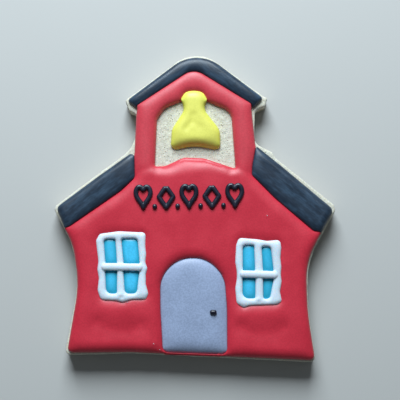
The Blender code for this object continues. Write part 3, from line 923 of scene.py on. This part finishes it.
def crumb_tree():
    """Loose crumbs scattered over a face, each a little lump turned at random"""
    tree, given, out = tree_with("Scattered crumbs", (
        ("Density", "NodeSocketFloat", 900000.0),
        ("Smallest", "NodeSocketFloat", 0.00007),
        ("Largest", "NodeSocketFloat", 0.0002),
        ("Seed", "NodeSocketInt", 4),
        ("Crumb", "NodeSocketMaterial", None),
    ))
    points = joined(tree, "GeometryNodeDistributePointsOnFaces", [
        ("Mesh", given["Mesh"]), ("Density", given["Density"]), ("Seed", given["Seed"]),
    ])
    lump = joined(tree, "GeometryNodeMeshIcoSphere", [("Radius", 1.0), ("Subdivisions", 1)]).outputs["Mesh"]
    size = joined(tree, "FunctionNodeRandomValue", [
        (2, given["Smallest"]), (3, given["Largest"]), ("Seed", given["Seed"]),
    ], data_type="FLOAT").outputs[1]
    turn = joined(tree, "FunctionNodeRandomValue", [
        (0, (0.0, 0.0, 0.0)), (1, (math.tau, math.tau, math.tau)), ("Seed", given["Seed"]),
    ], data_type="FLOAT_VECTOR").outputs[0]
    lumps = joined(tree, "GeometryNodeInstanceOnPoints", [
        ("Points", points.outputs["Points"]), ("Instance", lump), ("Rotation", turn), ("Scale", size),
    ]).outputs[0]
    finished_tree(tree, lumps, given["Crumb"], out)
    return tree


def tree_named(name, make):
    """A Geometry Nodes tree, made once"""
    return bpy.data.node_groups.get(name) or make()


def evaluated(piece):
    """Replaces a piece's mesh by what its modifiers make of it, and removes them"""
    bpy.context.view_layer.update()
    result = bpy.data.meshes.new_from_object(piece.evaluated_get(bpy.context.evaluated_depsgraph_get()))
    piece.modifiers.clear()
    paints = [slot.material for slot in piece.material_slots]
    piece.data = result
    result.name = piece.name
    result.materials.clear()
    for paint in paints:
        result.materials.append(paint)
    return piece


def grown(piece, tree, values):
    """Runs a Geometry Nodes tree on a piece, its inputs set by their identifiers"""
    modifier = piece.modifiers.new(tree.name, "NODES")
    sockets = {item.name: item.identifier for item in tree.interface.items_tree if item.in_out == "INPUT"}
    for label, value in values.items():
        modifier[sockets[label]] = value
    modifier.node_group = tree
    for label, value in values.items():
        modifier[sockets[label]] = value
    return evaluated(piece)


def beads(name, lines, paint, unevenness, seed, voxel, height_share=0.9, body=None):
    """Piped beads fused where they touch, and with a body; each line is (points, radii, whether closed)"""
    vertices = []
    edges = []
    widths = []
    for points, radii, closed in lines:
        first = len(vertices)
        vertices += [tuple(point) for point in np.asarray(points) * MM]
        edges += [(first + i, first + i + 1) for i in range(len(points) - 1)]
        if closed:
            edges.append((first + len(points) - 1, first))
        widths += [radius * MM for radius in radii]
    mesh = bpy.data.meshes.new(name)
    mesh.from_pydata(vertices, edges, [])
    mesh.attributes.new("bead_radius", "FLOAT", "POINT").data.foreach_set("value", widths)
    mesh.materials.append(paint)
    piece = bpy.data.objects.new(name, mesh)
    bpy.context.scene.collection.objects.link(piece)
    grown(piece, tree_named("Piped bead", bead_tree), {
        "Height Share": height_share, "Unevenness": unevenness, "Seed": seed, "Icing": paint,
    })
    if body is not None:
        block = bpy.data.meshes.new(f"{name}_body")
        block.from_pydata((np.asarray(body[0]) * MM).tolist(), [], body[1])
        merged = bmesh.new()
        merged.from_mesh(piece.data)
        merged.from_mesh(block)
        merged.to_mesh(piece.data)
        merged.free()
        bpy.data.meshes.remove(block)
    fuse = piece.modifiers.new("fuse", "REMESH")
    fuse.mode = "VOXEL"
    fuse.voxel_size = voxel * MM
    fuse.use_smooth_shade = True
    soften = piece.modifiers.new("soften", "SMOOTH")
    soften.factor = 0.5
    soften.iterations = 6
    return evaluated(piece)


# Settings

def tint(name, description, default):
    """A colour that a baker may change"""
    return bpy.props.FloatVectorProperty(
        name=name, description=description, subtype="COLOR", size=3, min=0.0, max=1.0, default=default)


def length(name, description, least, most, default):
    """A length that a baker may change"""
    return bpy.props.FloatProperty(
        name=name, description=description, unit="LENGTH", min=least, max=most, default=default)


class CrumbSettings(bpy.types.PropertyGroup):
    """The baked dough"""
    pale: tint("Pale crumb", "Colour of the top of the dough", (0.63, 0.60, 0.50))
    baked: tint("Baked crumb", "Colour of the dough where it browned", (0.47, 0.37, 0.24))
    roughness_depth: length("Grain depth", "How deep the sandy grain is", 0.0, 0.001, 0.00009)
    density: bpy.props.FloatProperty(
        name="Crumb density", description="Loose crumbs on each square metre",
        min=0.0, default=900000.0)


class IcingSettings(bpy.types.PropertyGroup):
    """The flooded icing"""
    red: tint("Wall", "Colour of the wall", (0.568, 0.026, 0.048))
    # Painted sheen: the tower's paler red stands for the brighter light and sheen up the tower, not for icing
    # that dried paler
    tower: tint("Tower", "Colour of the same icing up the tower, where it dried paler", (0.585, 0.05, 0.07))
    black: tint("Roofs", "Colour of the three roofs", (0.015, 0.027, 0.047))
    # The roofs' paler streaks: partly the icing's own streaking, partly painted sheen where the light catches
    # the brushed strokes
    haze: tint("Roof streaks", "Colour of the paler streaks in the roofs", (0.034, 0.062, 0.1))
    ink: tint("Piping", "Colour of the piped row and the knob", (0.013, 0.013, 0.026))
    yellow: tint("Bell", "Colour of the bell", (0.745, 0.70, 0.132))
    # Painted light: a lighter, greener yellow painted along the bell's edge, lifting the shade and the red
    # sill's orange bounce light on it
    bell_edge_light: tint("Bell edge", "Colour of the bell where it thins to its edge", (0.76, 0.765, 0.118))
    grey: tint("Door", "Colour of the door", (0.30, 0.36, 0.51))
    blue: tint("Panes", "Colour of the window panes", (0.062, 0.52, 0.81))
    # Painted shade: the panes are painted a darker teal at their edges, where the frames shade them
    pane_edge_shade: tint("Pane edges", "Colour of the panes where they meet their frame", (0.02, 0.33, 0.48))
    white: tint("Frames", "Colour of the window frames", (0.66, 0.745, 0.82))
    waviness: length("Waviness", "Unevenness of the flooded surfaces", 0.0, 0.0005, 0.00005)


class PipingSettings(bpy.types.PropertyGroup):
    """The piped beads"""
    stroke: length("Row stroke", "Width of the beads in the row over the door", 0.0005, 0.004, 0.0015)
    unevenness: bpy.props.FloatProperty(
        name="Unevenness", description="How much a bead's width wanders, as a share of it", subtype="FACTOR",
        min=0.0, max=0.4, default=0.08)


class StageSettings(bpy.types.PropertyGroup):
    """The table and the light"""
    table: tint("Table", "Colour of the table top", (0.50, 0.49, 0.47))
    key_power: bpy.props.FloatProperty(
        name="Window light", description="Power of the broad light beyond the roof", unit="POWER",
        min=0.0, default=6.6)
    sky: bpy.props.FloatProperty(
        name="Sky", description="Brightness of the light from all round", min=0.0, default=0.12)


SETTINGS = (
    ("biscuit_crumb", CrumbSettings),
    ("biscuit_icing", IcingSettings),
    ("biscuit_piping", PipingSettings),
    ("biscuit_stage", StageSettings),
)


# Pieces

def base_height():
    """The height of the biscuit's top, on which all icing lies"""
    return top_of("biscuit")


def icing_paint(name, colour, **finish):
    """An icing's material, made once"""
    return bpy.data.materials.get(name) or icing_material(name, colour, **finish)


def red_paint():
    """The wall's and the tower's icing"""
    icing = bpy.context.scene.biscuit_icing
    # The tower's paler red is painted sheen, where the light falls brighter up the tower
    return icing_paint("poured_red", icing.red, gloss=(0.36, 0.45), shine=0.42, upper=icing.tower)


def black_paint():
    """The piped row's and the knob's icing"""
    ink = bpy.context.scene.biscuit_icing.ink
    return icing_paint("piped_black", ink, gloss=(0.3, 0.4), mottle=0.2, shine=0.5)


def white_paint():
    """White piping, with light passing well into it"""
    white = bpy.context.scene.biscuit_icing.white
    return icing_paint(
        "piped_white", white, gloss=(0.4, 0.5), mottle=0.02, fleck=0.03, depth=0.04, glow=0.35, reach=1.3,
    )


def crumb_paint():
    """The baked dough"""
    crumb = bpy.context.scene.biscuit_crumb
    return bpy.data.materials.get("baked_crumb") or crumb_material(crumb.pale, crumb.baked)


def under_icing(points, margin):
    """Which points lie under icing, by more than the margin from its edge"""
    poured = (FRONT_OUTLINE, ROOF_TOP_OUTLINE, ROOF_LEFT_OUTLINE, ROOF_RIGHT_OUTLINE, BELL_OUTLINE)
    pools = [[outline(corners)] for corners in poured]
    pools[0].append(outline(OPENING_OUTLINE, inset=0.0))
    hidden = np.zeros(len(points), bool)
    for loops in pools:
        inside = within(points, loops)
        inside[inside] = edge_distance(points[inside], loops) > margin
        hidden |= inside
    return hidden


def rounded(distance, radius):
    """How far a rounded edge falls, at a distance in from it"""
    away = np.clip(1.0 - distance / radius, 0.0, 1.0)
    return radius * (1.0 - np.sqrt(1.0 - away ** 2))


def biscuit_shell(loop):
    """The biscuit before its grain: its points, faces and how open each point is to the air"""
    thick = base_height()
    fine = net([loop], CRUMB_STEP, TOP_CLEAR)
    fine = fine[~under_icing(fine, COVER_MARGIN)]
    coarse = net([loop], HIDDEN_STEP, TOP_CLEAR)
    coarse = coarse[under_icing(coarse, COVER_MARGIN + HIDDEN_STEP / 2)]
    top, top_faces = triangulated([loop], np.concatenate([rings([loop], TOP_RINGS), fine, coarse]))
    plain = net([loop], FOOT_STEP, FOOT_CLEAR)
    foot, foot_faces = triangulated([loop], np.concatenate([rings([loop], FOOT_RINGS), plain]))
    distance = edge_distance(top, [loop])
    foot_distance = edge_distance(foot, [loop])
    count = len(loop)
    distance[:count] = 0.0
    foot_distance[:count] = 0.0
    upper = np.column_stack((top, thick - rounded(distance, TOP_ROUND)))
    lower = np.column_stack((foot, rounded(foot_distance, FOOT_ROUND)))
    levels = np.linspace(thick - TOP_ROUND, FOOT_ROUND, SIDE_ROWS + 2)[1:-1]
    rows = [np.column_stack((loop, np.full(count, level))) for level in levels]
    vertices = np.concatenate([upper, lower, *rows])
    first_foot = len(upper)
    first_row = first_foot + len(lower)
    chain = [0] + [first_row + i * count for i in range(len(rows))] + [first_foot]
    faces = list(top_faces)
    faces += [tuple(first_foot + i for i in reversed(face)) for face in foot_faces]
    for above, below in zip(chain, chain[1:]):
        for i in range(count):
            j = (i + 1) % count
            faces.append((above + j, above + i, below + i, below + j))
    open_share = np.ones(len(vertices))
    open_share[:first_foot] = ~under_icing(top, COVER_MARGIN)
    return vertices, faces, open_share, first_foot


def bake():
    """The baked slab, with its sandy grain as relief where it shows"""
    settings = bpy.context.scene.biscuit_crumb
    loop = outline(BISCUIT_OUTLINE, inset=0.0)
    vertices, faces, open_share, first_foot = biscuit_shell(loop)
    piece = solid("baked_biscuit", (vertices, faces, open_share), crumb_paint())
    normals = np.array([tuple(vertex.normal) for vertex in piece.data.vertices])
    deep = settings.roughness_depth / MM
    relief = sum(share * rolling(vertices, size, seed) for size, seed, share in GRAINS)
    wide = SIDE_WAVE_DEPTH * (rolling(vertices, *SIDE_WAVES) - 1.0)
    upright = 1.0 - np.abs(normals[:, 2])
    shift = deep * (relief - SIDE_BACK * (upright > SIDE_LEAN)) * open_share + wide * upright
    vertices = vertices + normals * shift[:, None]
    vertices[:, 2] = np.clip(vertices[:, 2], 0.0, None)
    piece.data.vertices.foreach_set("co", (vertices * MM).ravel())
    height = np.clip(vertices[:, 2] / base_height(), 0.0, 1.0)
    browning = np.clip(BROWN_FOOT - BROWN_FADE * height, 0.0, 1.0)
    browning += BROWN_UNDER * np.clip(-normals[:, 2], 0.0, 1.0)
    browning[:first_foot] *= BROWN_TOP
    attribute = piece.data.attributes.new("browning", "FLOAT", "POINT")
    attribute.data.foreach_set("value", browning)
    piece.data.update()
    settle(piece, "biscuit", slot="biscuit")


def scatter_crumbs():
    """Loose sugary crumbs on the bare dough in the tower's opening and along the rim"""
    settings = bpy.context.scene.biscuit_crumb
    loop = outline(BISCUIT_OUTLINE, inset=0.0)
    thick = base_height()
    points = net([loop], CRUMB_NET, CRUMB_CLEAR)
    flat, faces = triangulated([outline(BISCUIT_OUTLINE, inset=CRUMB_INSET)], points)
    middles = np.array([flat[list(face)].mean(axis=0) for face in faces])
    bare = ~under_icing(middles, -CRUMB_UNDER)
    faces = [face for face, keep in zip(faces, bare) if keep]
    vertices = np.column_stack((flat, thick - rounded(edge_distance(flat, [loop]), TOP_ROUND)))
    piece = solid("loose_crumbs", (vertices, faces, np.ones(len(vertices))), crumb_paint())
    grown(piece, tree_named("Scattered crumbs", crumb_tree), {
        "Density": settings.density, "Crumb": crumb_paint(),
    })
    settle(piece, slot="biscuit")


def pinhole_points():
    """Mesh points round each burst bubble in the wall"""
    turns = np.arange(PINHOLE_POINTS) * math.tau / PINHOLE_POINTS
    ring = np.column_stack((np.cos(turns), np.sin(turns)))
    holes = np.array(PINHOLES) - MIDDLE
    rounds = [hole + reach * PINHOLE_RADIUS * ring for hole in holes for reach in PINHOLE_RINGS]
    return np.concatenate([*rounds, holes])


def pinholes(flat):
    """The lips and pits of burst bubbles"""
    total = np.zeros(len(flat))
    for hole in PINHOLES:
        away = np.linalg.norm(flat - (np.array(hole) - MIDDLE), axis=1) / PINHOLE_RADIUS
        lip = LIP_RISE * np.exp(-((away - 1.0) / LIP_WIDE) ** 2)
        total += lip - PIT_DEEP * np.exp(-(away / PIT_WIDE) ** 2)
    return total


def front_relief(flat):
    """Low swells under the windows and along the foot, the sill's line, and burst bubbles"""
    wave = bpy.context.scene.biscuit_icing.waviness / MM
    return strokes(flat, FRONT_RELIEF) + wave * rolling(flat, *FRONT_WAVES) + pinholes(flat)


def there_and_back(corners):
    """A broken line as a closed loop"""
    line = np.array([corner[:2] for corner in corners]) - MIDDLE
    return np.concatenate([line, line[::-1]])


def pour_front():
    """The red front of the house, its wall and its tower's arch fused in one pool"""
    windows = [outline(window["outline"], inset=UNDER_FRAME) for window in WINDOWS.values()]
    door = outline(DOOR_OUTLINE)
    seams = [(window, RED_AT_WINDOW) for window in windows]
    seams += [
        (outline(ROOF_TOP_OUTLINE), RED_AT_TOP_ROOF),
        (outline(ROOF_LEFT_OUTLINE), RED_AT_SIDE_ROOF),
        (outline(ROOF_RIGHT_OUTLINE), RED_AT_SIDE_ROOF),
        (door, RED_AT_DOOR),
        (outline(BELL_OUTLINE, inset=UNDER_BELL), RED_AT_BELL),
        (there_and_back(OPENING_SILL), RED_AT_SILL),
    ]
    shape = flooded(
        [outline(FRONT_OUTLINE), outline(OPENING_OUTLINE, inset=0.0), door, *windows],
        top_of("wall_icing") - RED_BELOW - base_height(), RED_SHOULDER, base_height() - SUNK,
        seams, front_relief, pinhole_points(),
    )
    settle(solid("red_front", shape, red_paint()), "wall_icing", "tower_icing", slot="red_icing")
    # Painted highlights: small white dabs by the burst bubbles stand for the light glinting on their rims
    glints = []
    for spot in BUBBLE_GLINTS:
        x, y, height = lying(shape, spot)
        glints.append(dab((x, y), height, GLINT_RADIUS, GLINT_RADIUS))
    piece = beads("painted_bubble_glints", glints, white_paint(), unevenness=0.1, seed=7.0, voxel=0.05)
    settle(piece, slot="white_icing")


def pour(name, corners, node, shoulder, seams, paint, slot, relief=None):
    """One pool of icing up to its CAD node's height"""
    thick = top_of(node) - base_height() - HEADROOM
    wave = bpy.context.scene.biscuit_icing.waviness / MM

    def rise(flat):
        return wave * rolling(flat, *POOL_WAVES) + (relief(flat) if relief else 0.0)

    shape = flooded([outline(corners)], thick, shoulder, base_height() - SUNK, seams, rise)
    return settle(solid(name, shape, paint), node, slot=slot)


def brushed(flat):
    """Long shallow streaks down both slopes of the roofs"""
    folded = np.column_stack((np.abs(flat[:, 0]), flat[:, 1]))
    along = folded @ (math.cos(ROOF_SLOPE), math.sin(ROOF_SLOPE))
    across = folded @ (-math.sin(ROOF_SLOPE), math.cos(ROOF_SLOPE))
    return BRUSH_DEEP * rolling(np.column_stack((along / BRUSH_LONG, across / BRUSH_WIDE)), 1.0, 6.0)


def pour_roofs():
    """The three roofs, in blue-black icing brushed down their slopes"""
    icing = bpy.context.scene.biscuit_icing
    # The roofs' paler haze is partly painted sheen along the brushed strokes
    paint = icing_paint(
        "poured_black", icing.black, gloss=(0.36, 0.48), mottle=0.14, fleck=0.16, depth=0.05, shine=0.45,
        streak=ROOF_SLOPE, haze=icing.haze,
    )
    seams = [(outline(FRONT_OUTLINE), ROOF_AT_RED)]
    for side, (corners, ridges) in ROOFS.items():
        pour(
            f"black_roof_{side}", corners, f"roof_{side}_icing", ROOF_SHOULDER, seams, paint, "black_icing",
            lambda flat: brushed(flat) + strokes(flat, ridges),
        )


def pour_door():
    """The door, its knob, and the red line that runs under it"""
    paint = icing_paint("poured_grey", bpy.context.scene.biscuit_icing.grey, fleck=0.1)
    seams = [(outline(DOOR_OUTLINE), DOOR_AT_RED), (there_and_back(DOOR_OUTLINE[2:4]), DOOR_AT_FOOT)]
    pour("grey_door", DOOR_OUTLINE, "door_icing", DOOR_SHOULDER, seams, paint, "grey_icing")
    knob = dab(np.array(KNOB_AT) - MIDDLE, top_of("door_icing") + KNOB_RISE, KNOB_REACH, KNOB_RADIUS)
    piece = beads("door_knob_dab", [knob], black_paint(), unevenness=0.04, seed=2.0, voxel=0.09)
    settle(piece, "door_knob", slot="black_icing")
    course = np.array(LINE_COURSE) - MIDDLE
    line = np.column_stack((course, np.full(len(course), base_height() + LINE_RISE)))
    drop = dab(np.array(DROP_AT) - MIDDLE, base_height() + DROP_RISE, DROP_RADIUS, DROP_RADIUS)
    lines = [(line, LINE_RADII, False), drop]
    piece = beads("red_line_under_door", lines, red_paint(), unevenness=0.12, seed=5.0, voxel=0.09)
    settle(piece, slot="red_icing")


def pour_bell():
    """The bell, with its valley and its two lobes"""
    icing = bpy.context.scene.biscuit_icing
    # The bell's edge colour is painted light, lifting the shade on its low edge
    paint = icing_paint("poured_yellow", icing.yellow, mottle=0.03, fleck=0.04, rim=icing.bell_edge_light)
    seams = [(outline(OPENING_OUTLINE), BELL_AT_RED), (there_and_back(BELL_FOOT), BELL_AT_FOOT)]
    pour(
        "yellow_bell", BELL_OUTLINE, "bell_icing", BELL_SHOULDER, seams, paint, "yellow_icing",
        lambda flat: strokes(flat, BELL_RELIEF),
    )


def finely(corners, count):
    """A broken line with a number of points along each stretch"""
    shares = np.linspace(0.0, 1.0, count, endpoint=False)[:, None]
    stretches = [start + (end - start) * shares for start, end in zip(corners, corners[1:])]
    return np.concatenate([*stretches, corners[-1:]])


def bar_line(points, radius, height):
    """A bar's bead, with a few points along each stretch"""
    line = finely(np.array(points) - MIDDLE, BAR_POINTS)
    return np.column_stack((line, np.full(len(line), height))), [radius] * len(line), False


def flood_panes(side, window):
    """The blue panes of one window, as one piece"""
    icing = bpy.context.scene.biscuit_icing
    # The panes' darker teal rim is painted shade where they meet their frames
    paint = icing_paint("poured_blue", icing.blue, gloss=(0.3, 0.4), rim=icing.pane_edge_shade)
    node = f"window_{side}_glass"
    base = base_height()
    thick = top_of(node) + PANE_RISE - base
    pools = [
        flooded([outline(pane, inset=-PANE_HIDDEN)], thick, PANE_SHOULDER, base - SUNK, edge=PANE_EDGE)
        for pane in window["panes"]
    ]
    settle(solid(f"blue_panes_{side}", together(pools), paint), node, slot="blue_icing")


def pipe_frame(side, window):
    """The white frame piped round one window's panes, lumpy, with its bar laid over"""
    node = f"window_{side}_frame"
    base = base_height()
    top = top_of(node)
    loops = [outline(window["outline"], step=FRAME_STEP, inset=FRAME_INSET)]
    loops += [outline(pane, step=FRAME_STEP, inset=0.0) for pane in window["panes"]]
    lumps = [(((x, y), (x, y)), wide, tall) for x, y, wide, tall in window["lumps"]]

    def lumpy(flat):
        return FRAME_WAVE_DEPTH * rolling(flat, *FRAME_WAVES) + strokes(flat, lumps)

    body = flooded(
        loops, top - FRAME_TOP - base, FRAME_SHOULDER, base + FRAME_FOOT,
        relief=lumpy, step=FRAME_STEP, edge=FRAME_SIDE,
    )
    bar = bar_line(window["bar"], BAR_RADIUS, top - BEAD_FLAT * BAR_RADIUS)
    piece = beads(
        f"white_frame_{side}", [bar], white_paint(), bpy.context.scene.biscuit_piping.unevenness,
        seed=3.0, voxel=0.13, height_share=BEAD_FLAT, body=body,
    )
    settle(piece, node, slot="white_icing")


def pipe_windows():
    """Both windows"""
    for side, window in WINDOWS.items():
        flood_panes(side, window)
        pipe_frame(side, window)


def heart_line():
    """The line that a piped heart follows, from its notch round to its notch"""
    turns = np.linspace(HEART_NOTCH, math.tau - HEART_NOTCH, HEART_POINTS)
    across = np.sin(turns) ** 3
    along = 13 * np.cos(turns) - 5 * np.cos(2 * turns) - 2 * np.cos(3 * turns) - np.cos(4 * turns)
    return np.column_stack((across / 2, (along + HEART_TIP) / HEART_SPAN - 0.5))


def diamond_line():
    """The line that a piped diamond follows, from its top round to its top"""
    tips = np.array(((0.0, 0.5), (-0.5, 0.0), (0.0, -0.5), (0.5, 0.0), (0.0, 0.5)))
    return finely(tips, SIDE_POINTS)


def pipe_row():
    """The row of hearts, diamonds and dots piped over the door"""
    piping = bpy.context.scene.biscuit_piping
    radius = piping.stroke / 2 / MM
    gaps = len(SIGN_MOTIFS) - 1
    pitch = (SIGN_LENGTH - MOTIF_WIDE) / gaps
    cosine, sine = math.cos(SIGN_TURN), math.sin(SIGN_TURN)
    turn = np.array(((cosine, sine), (-sine, cosine)))
    level = top_of("sign_heart_2") - SIGN_SUNK
    size = np.array((MOTIF_WIDE, MOTIF_TALL)) - 2 * radius
    for i, motif in enumerate(SIGN_MOTIFS):
        number = SIGN_MOTIFS[:i + 1].count(motif)
        shape = heart_line() if motif == "heart" else diamond_line()
        path = (shape * size + ((i - gaps / 2) * pitch, 0.0)) @ turn + SIGN_MIDDLE - MIDDLE
        line = np.column_stack((path, np.full(len(path), level)))
        piece = beads(
            f"piped_{motif}_{number}", [(line, [radius] * len(line), False)],
            black_paint(), piping.unevenness, seed=float(i), voxel=0.1,
        )
        settle(piece, f"sign_{motif}_{number}", slot="black_icing")
    for i in range(gaps):
        spot = np.array(((i + 0.5 - gaps / 2) * pitch, -DOT_DROP)) @ turn + SIGN_MIDDLE - MIDDLE
        dot = dab(spot, level, DOT_RADIUS, DOT_RADIUS)
        piece = beads(f"piped_dot_{i + 1}", [dot], black_paint(), unevenness=0.05, seed=float(i), voxel=0.1)
        settle(piece, f"sign_dot_{i + 1}", slot="black_icing")


# Stage: the camera in millimetres, where a pixel is 0.31 mm, then the light and the table in metres
CAMERA_RISE = math.radians(85.0)
CAMERA_AWAY = 330.0
PIXEL = 0.31
PICTURE_SIDE = 400
SENSOR = 36.0
AIM = (1.4, 2.5, 7.0)
LIGHT_AT = (-0.04, 0.46, 0.37)
LIGHT_SIDE = 0.34
DAYLIGHT = (0.80, 0.92, 1.0)
TABLE_SIDE = 3.0
TABLE_GAP = 0.00005


def lay_table():
    """The pale table, just under the biscuit"""
    bpy.ops.mesh.primitive_plane_add(size=TABLE_SIDE, location=(0.0, 0.0, -TABLE_GAP))
    floor = bpy.context.object
    floor.name = "table"
    floor.data.materials.append(table_material(bpy.context.scene.biscuit_stage.table))


def set_light(aim):
    """One broad light beyond the roof, and a faint sky"""
    scene = bpy.context.scene
    lamp = bpy.data.lights.new("window_light", "AREA")
    lamp.shape = "SQUARE"
    lamp.size = LIGHT_SIDE
    lamp.energy = scene.biscuit_stage.key_power
    lamp.color = DAYLIGHT
    light = bpy.data.objects.new("window_light", lamp)
    light.location = LIGHT_AT
    light.rotation_euler = (Vector(LIGHT_AT) - aim).to_track_quat("Z", "Y").to_euler()
    scene.collection.objects.link(light)
    world = bpy.data.worlds.new("soft_sky")
    world.use_nodes = True
    sky = world.node_tree.nodes["Background"]
    sky.inputs["Color"].default_value = (*DAYLIGHT, 1.0)
    sky.inputs["Strength"].default_value = scene.biscuit_stage.sky
    scene.world = world
    scene.view_settings.view_transform = "Standard"


def set_camera(aim):
    """The camera, nearly overhead"""
    view = bpy.data.cameras.new("camera")
    view.sensor_width = SENSOR
    view.lens = SENSOR * CAMERA_AWAY / PIXEL / PICTURE_SIDE
    camera = bpy.data.objects.new("camera", view)
    away = Vector((0.0, -math.cos(CAMERA_RISE), math.sin(CAMERA_RISE)))
    camera.location = aim + away * CAMERA_AWAY * MM
    camera.rotation_euler = away.to_track_quat("Z", "Y").to_euler()
    bpy.context.scene.collection.objects.link(camera)
    bpy.context.scene.camera = camera


def set_stage():
    """The table, the light and the camera"""
    aim = Vector((AIM[0] - MIDDLE[0], AIM[1] - MIDDLE[1], AIM[2])) * MM
    lay_table()
    set_light(aim)
    set_camera(aim)


# Operators

class BISCUIT_OT_bake(bpy.types.Operator):
    """Bake the biscuit, with its sandy grain"""
    bl_idname = "biscuit.bake"
    bl_label = "Bake the Biscuit"

    def execute(self, context):
        bake()
        return {"FINISHED"}


class BISCUIT_OT_crumbs(bpy.types.Operator):
    """Scatter loose crumbs on the bare dough"""
    bl_idname = "biscuit.crumbs"
    bl_label = "Scatter the Crumbs"

    def execute(self, context):
        scatter_crumbs()
        return {"FINISHED"}


class BISCUIT_OT_front(bpy.types.Operator):
    """Flood the red front, its wall and its tower's arch"""
    bl_idname = "biscuit.front"
    bl_label = "Pour the Front"

    def execute(self, context):
        pour_front()
        return {"FINISHED"}


class BISCUIT_OT_roofs(bpy.types.Operator):
    """Flood the three roofs"""
    bl_idname = "biscuit.roofs"
    bl_label = "Pour the Roofs"

    def execute(self, context):
        pour_roofs()
        return {"FINISHED"}


class BISCUIT_OT_door(bpy.types.Operator):
    """Flood the door and dab its knob"""
    bl_idname = "biscuit.door"
    bl_label = "Pour the Door"

    def execute(self, context):
        pour_door()
        return {"FINISHED"}


class BISCUIT_OT_bell(bpy.types.Operator):
    """Pipe the bell"""
    bl_idname = "biscuit.bell"
    bl_label = "Pipe the Bell"

    def execute(self, context):
        pour_bell()
        return {"FINISHED"}


class BISCUIT_OT_windows(bpy.types.Operator):
    """Flood the panes and pipe the window frames"""
    bl_idname = "biscuit.windows"
    bl_label = "Pipe the Windows"

    def execute(self, context):
        pipe_windows()
        return {"FINISHED"}


class BISCUIT_OT_row(bpy.types.Operator):
    """Pipe the row of hearts, diamonds and dots"""
    bl_idname = "biscuit.row"
    bl_label = "Pipe the Row"

    def execute(self, context):
        pipe_row()
        return {"FINISHED"}


class BISCUIT_OT_stage(bpy.types.Operator):
    """Set the table, the light and the camera"""
    bl_idname = "biscuit.stage"
    bl_label = "Set the Stage"

    def execute(self, context):
        set_stage()
        return {"FINISHED"}


OPERATORS = (
    BISCUIT_OT_bake, BISCUIT_OT_crumbs, BISCUIT_OT_front, BISCUIT_OT_roofs, BISCUIT_OT_door,
    BISCUIT_OT_bell, BISCUIT_OT_windows, BISCUIT_OT_row, BISCUIT_OT_stage,
)


class BISCUIT_PT_steps(bpy.types.Panel):
    """The steps, in order, with the settings under them"""
    bl_label = "Iced Biscuit"
    bl_idname = "BISCUIT_PT_steps"
    bl_space_type = "VIEW_3D"
    bl_region_type = "UI"
    bl_category = "Biscuit"

    def draw(self, context):
        for operator in OPERATORS:
            self.layout.operator(operator.bl_idname)
        for name, group in SETTINGS:
            box = self.layout.box()
            for label in group.__annotations__:
                box.prop(getattr(context.scene, name), label)


def register():
    for name, group in SETTINGS:
        bpy.utils.register_class(group)
        setattr(bpy.types.Scene, name, bpy.props.PointerProperty(type=group))
    for operator in OPERATORS:
        bpy.utils.register_class(operator)
    bpy.utils.register_class(BISCUIT_PT_steps)


def unregister():
    bpy.utils.unregister_class(BISCUIT_PT_steps)
    for operator in reversed(OPERATORS):
        bpy.utils.unregister_class(operator)
    for name, group in reversed(SETTINGS):
        delattr(bpy.types.Scene, name)
        bpy.utils.unregister_class(group)


def main():
    register()
    bpy.ops.biscuit.bake()
    bpy.ops.biscuit.crumbs()
    bpy.ops.biscuit.front()
    bpy.ops.biscuit.roofs()
    bpy.ops.biscuit.door()
    bpy.ops.biscuit.bell()
    bpy.ops.biscuit.windows()
    bpy.ops.biscuit.row()
    bpy.ops.biscuit.stage()


if __name__ == "__main__":
    main()
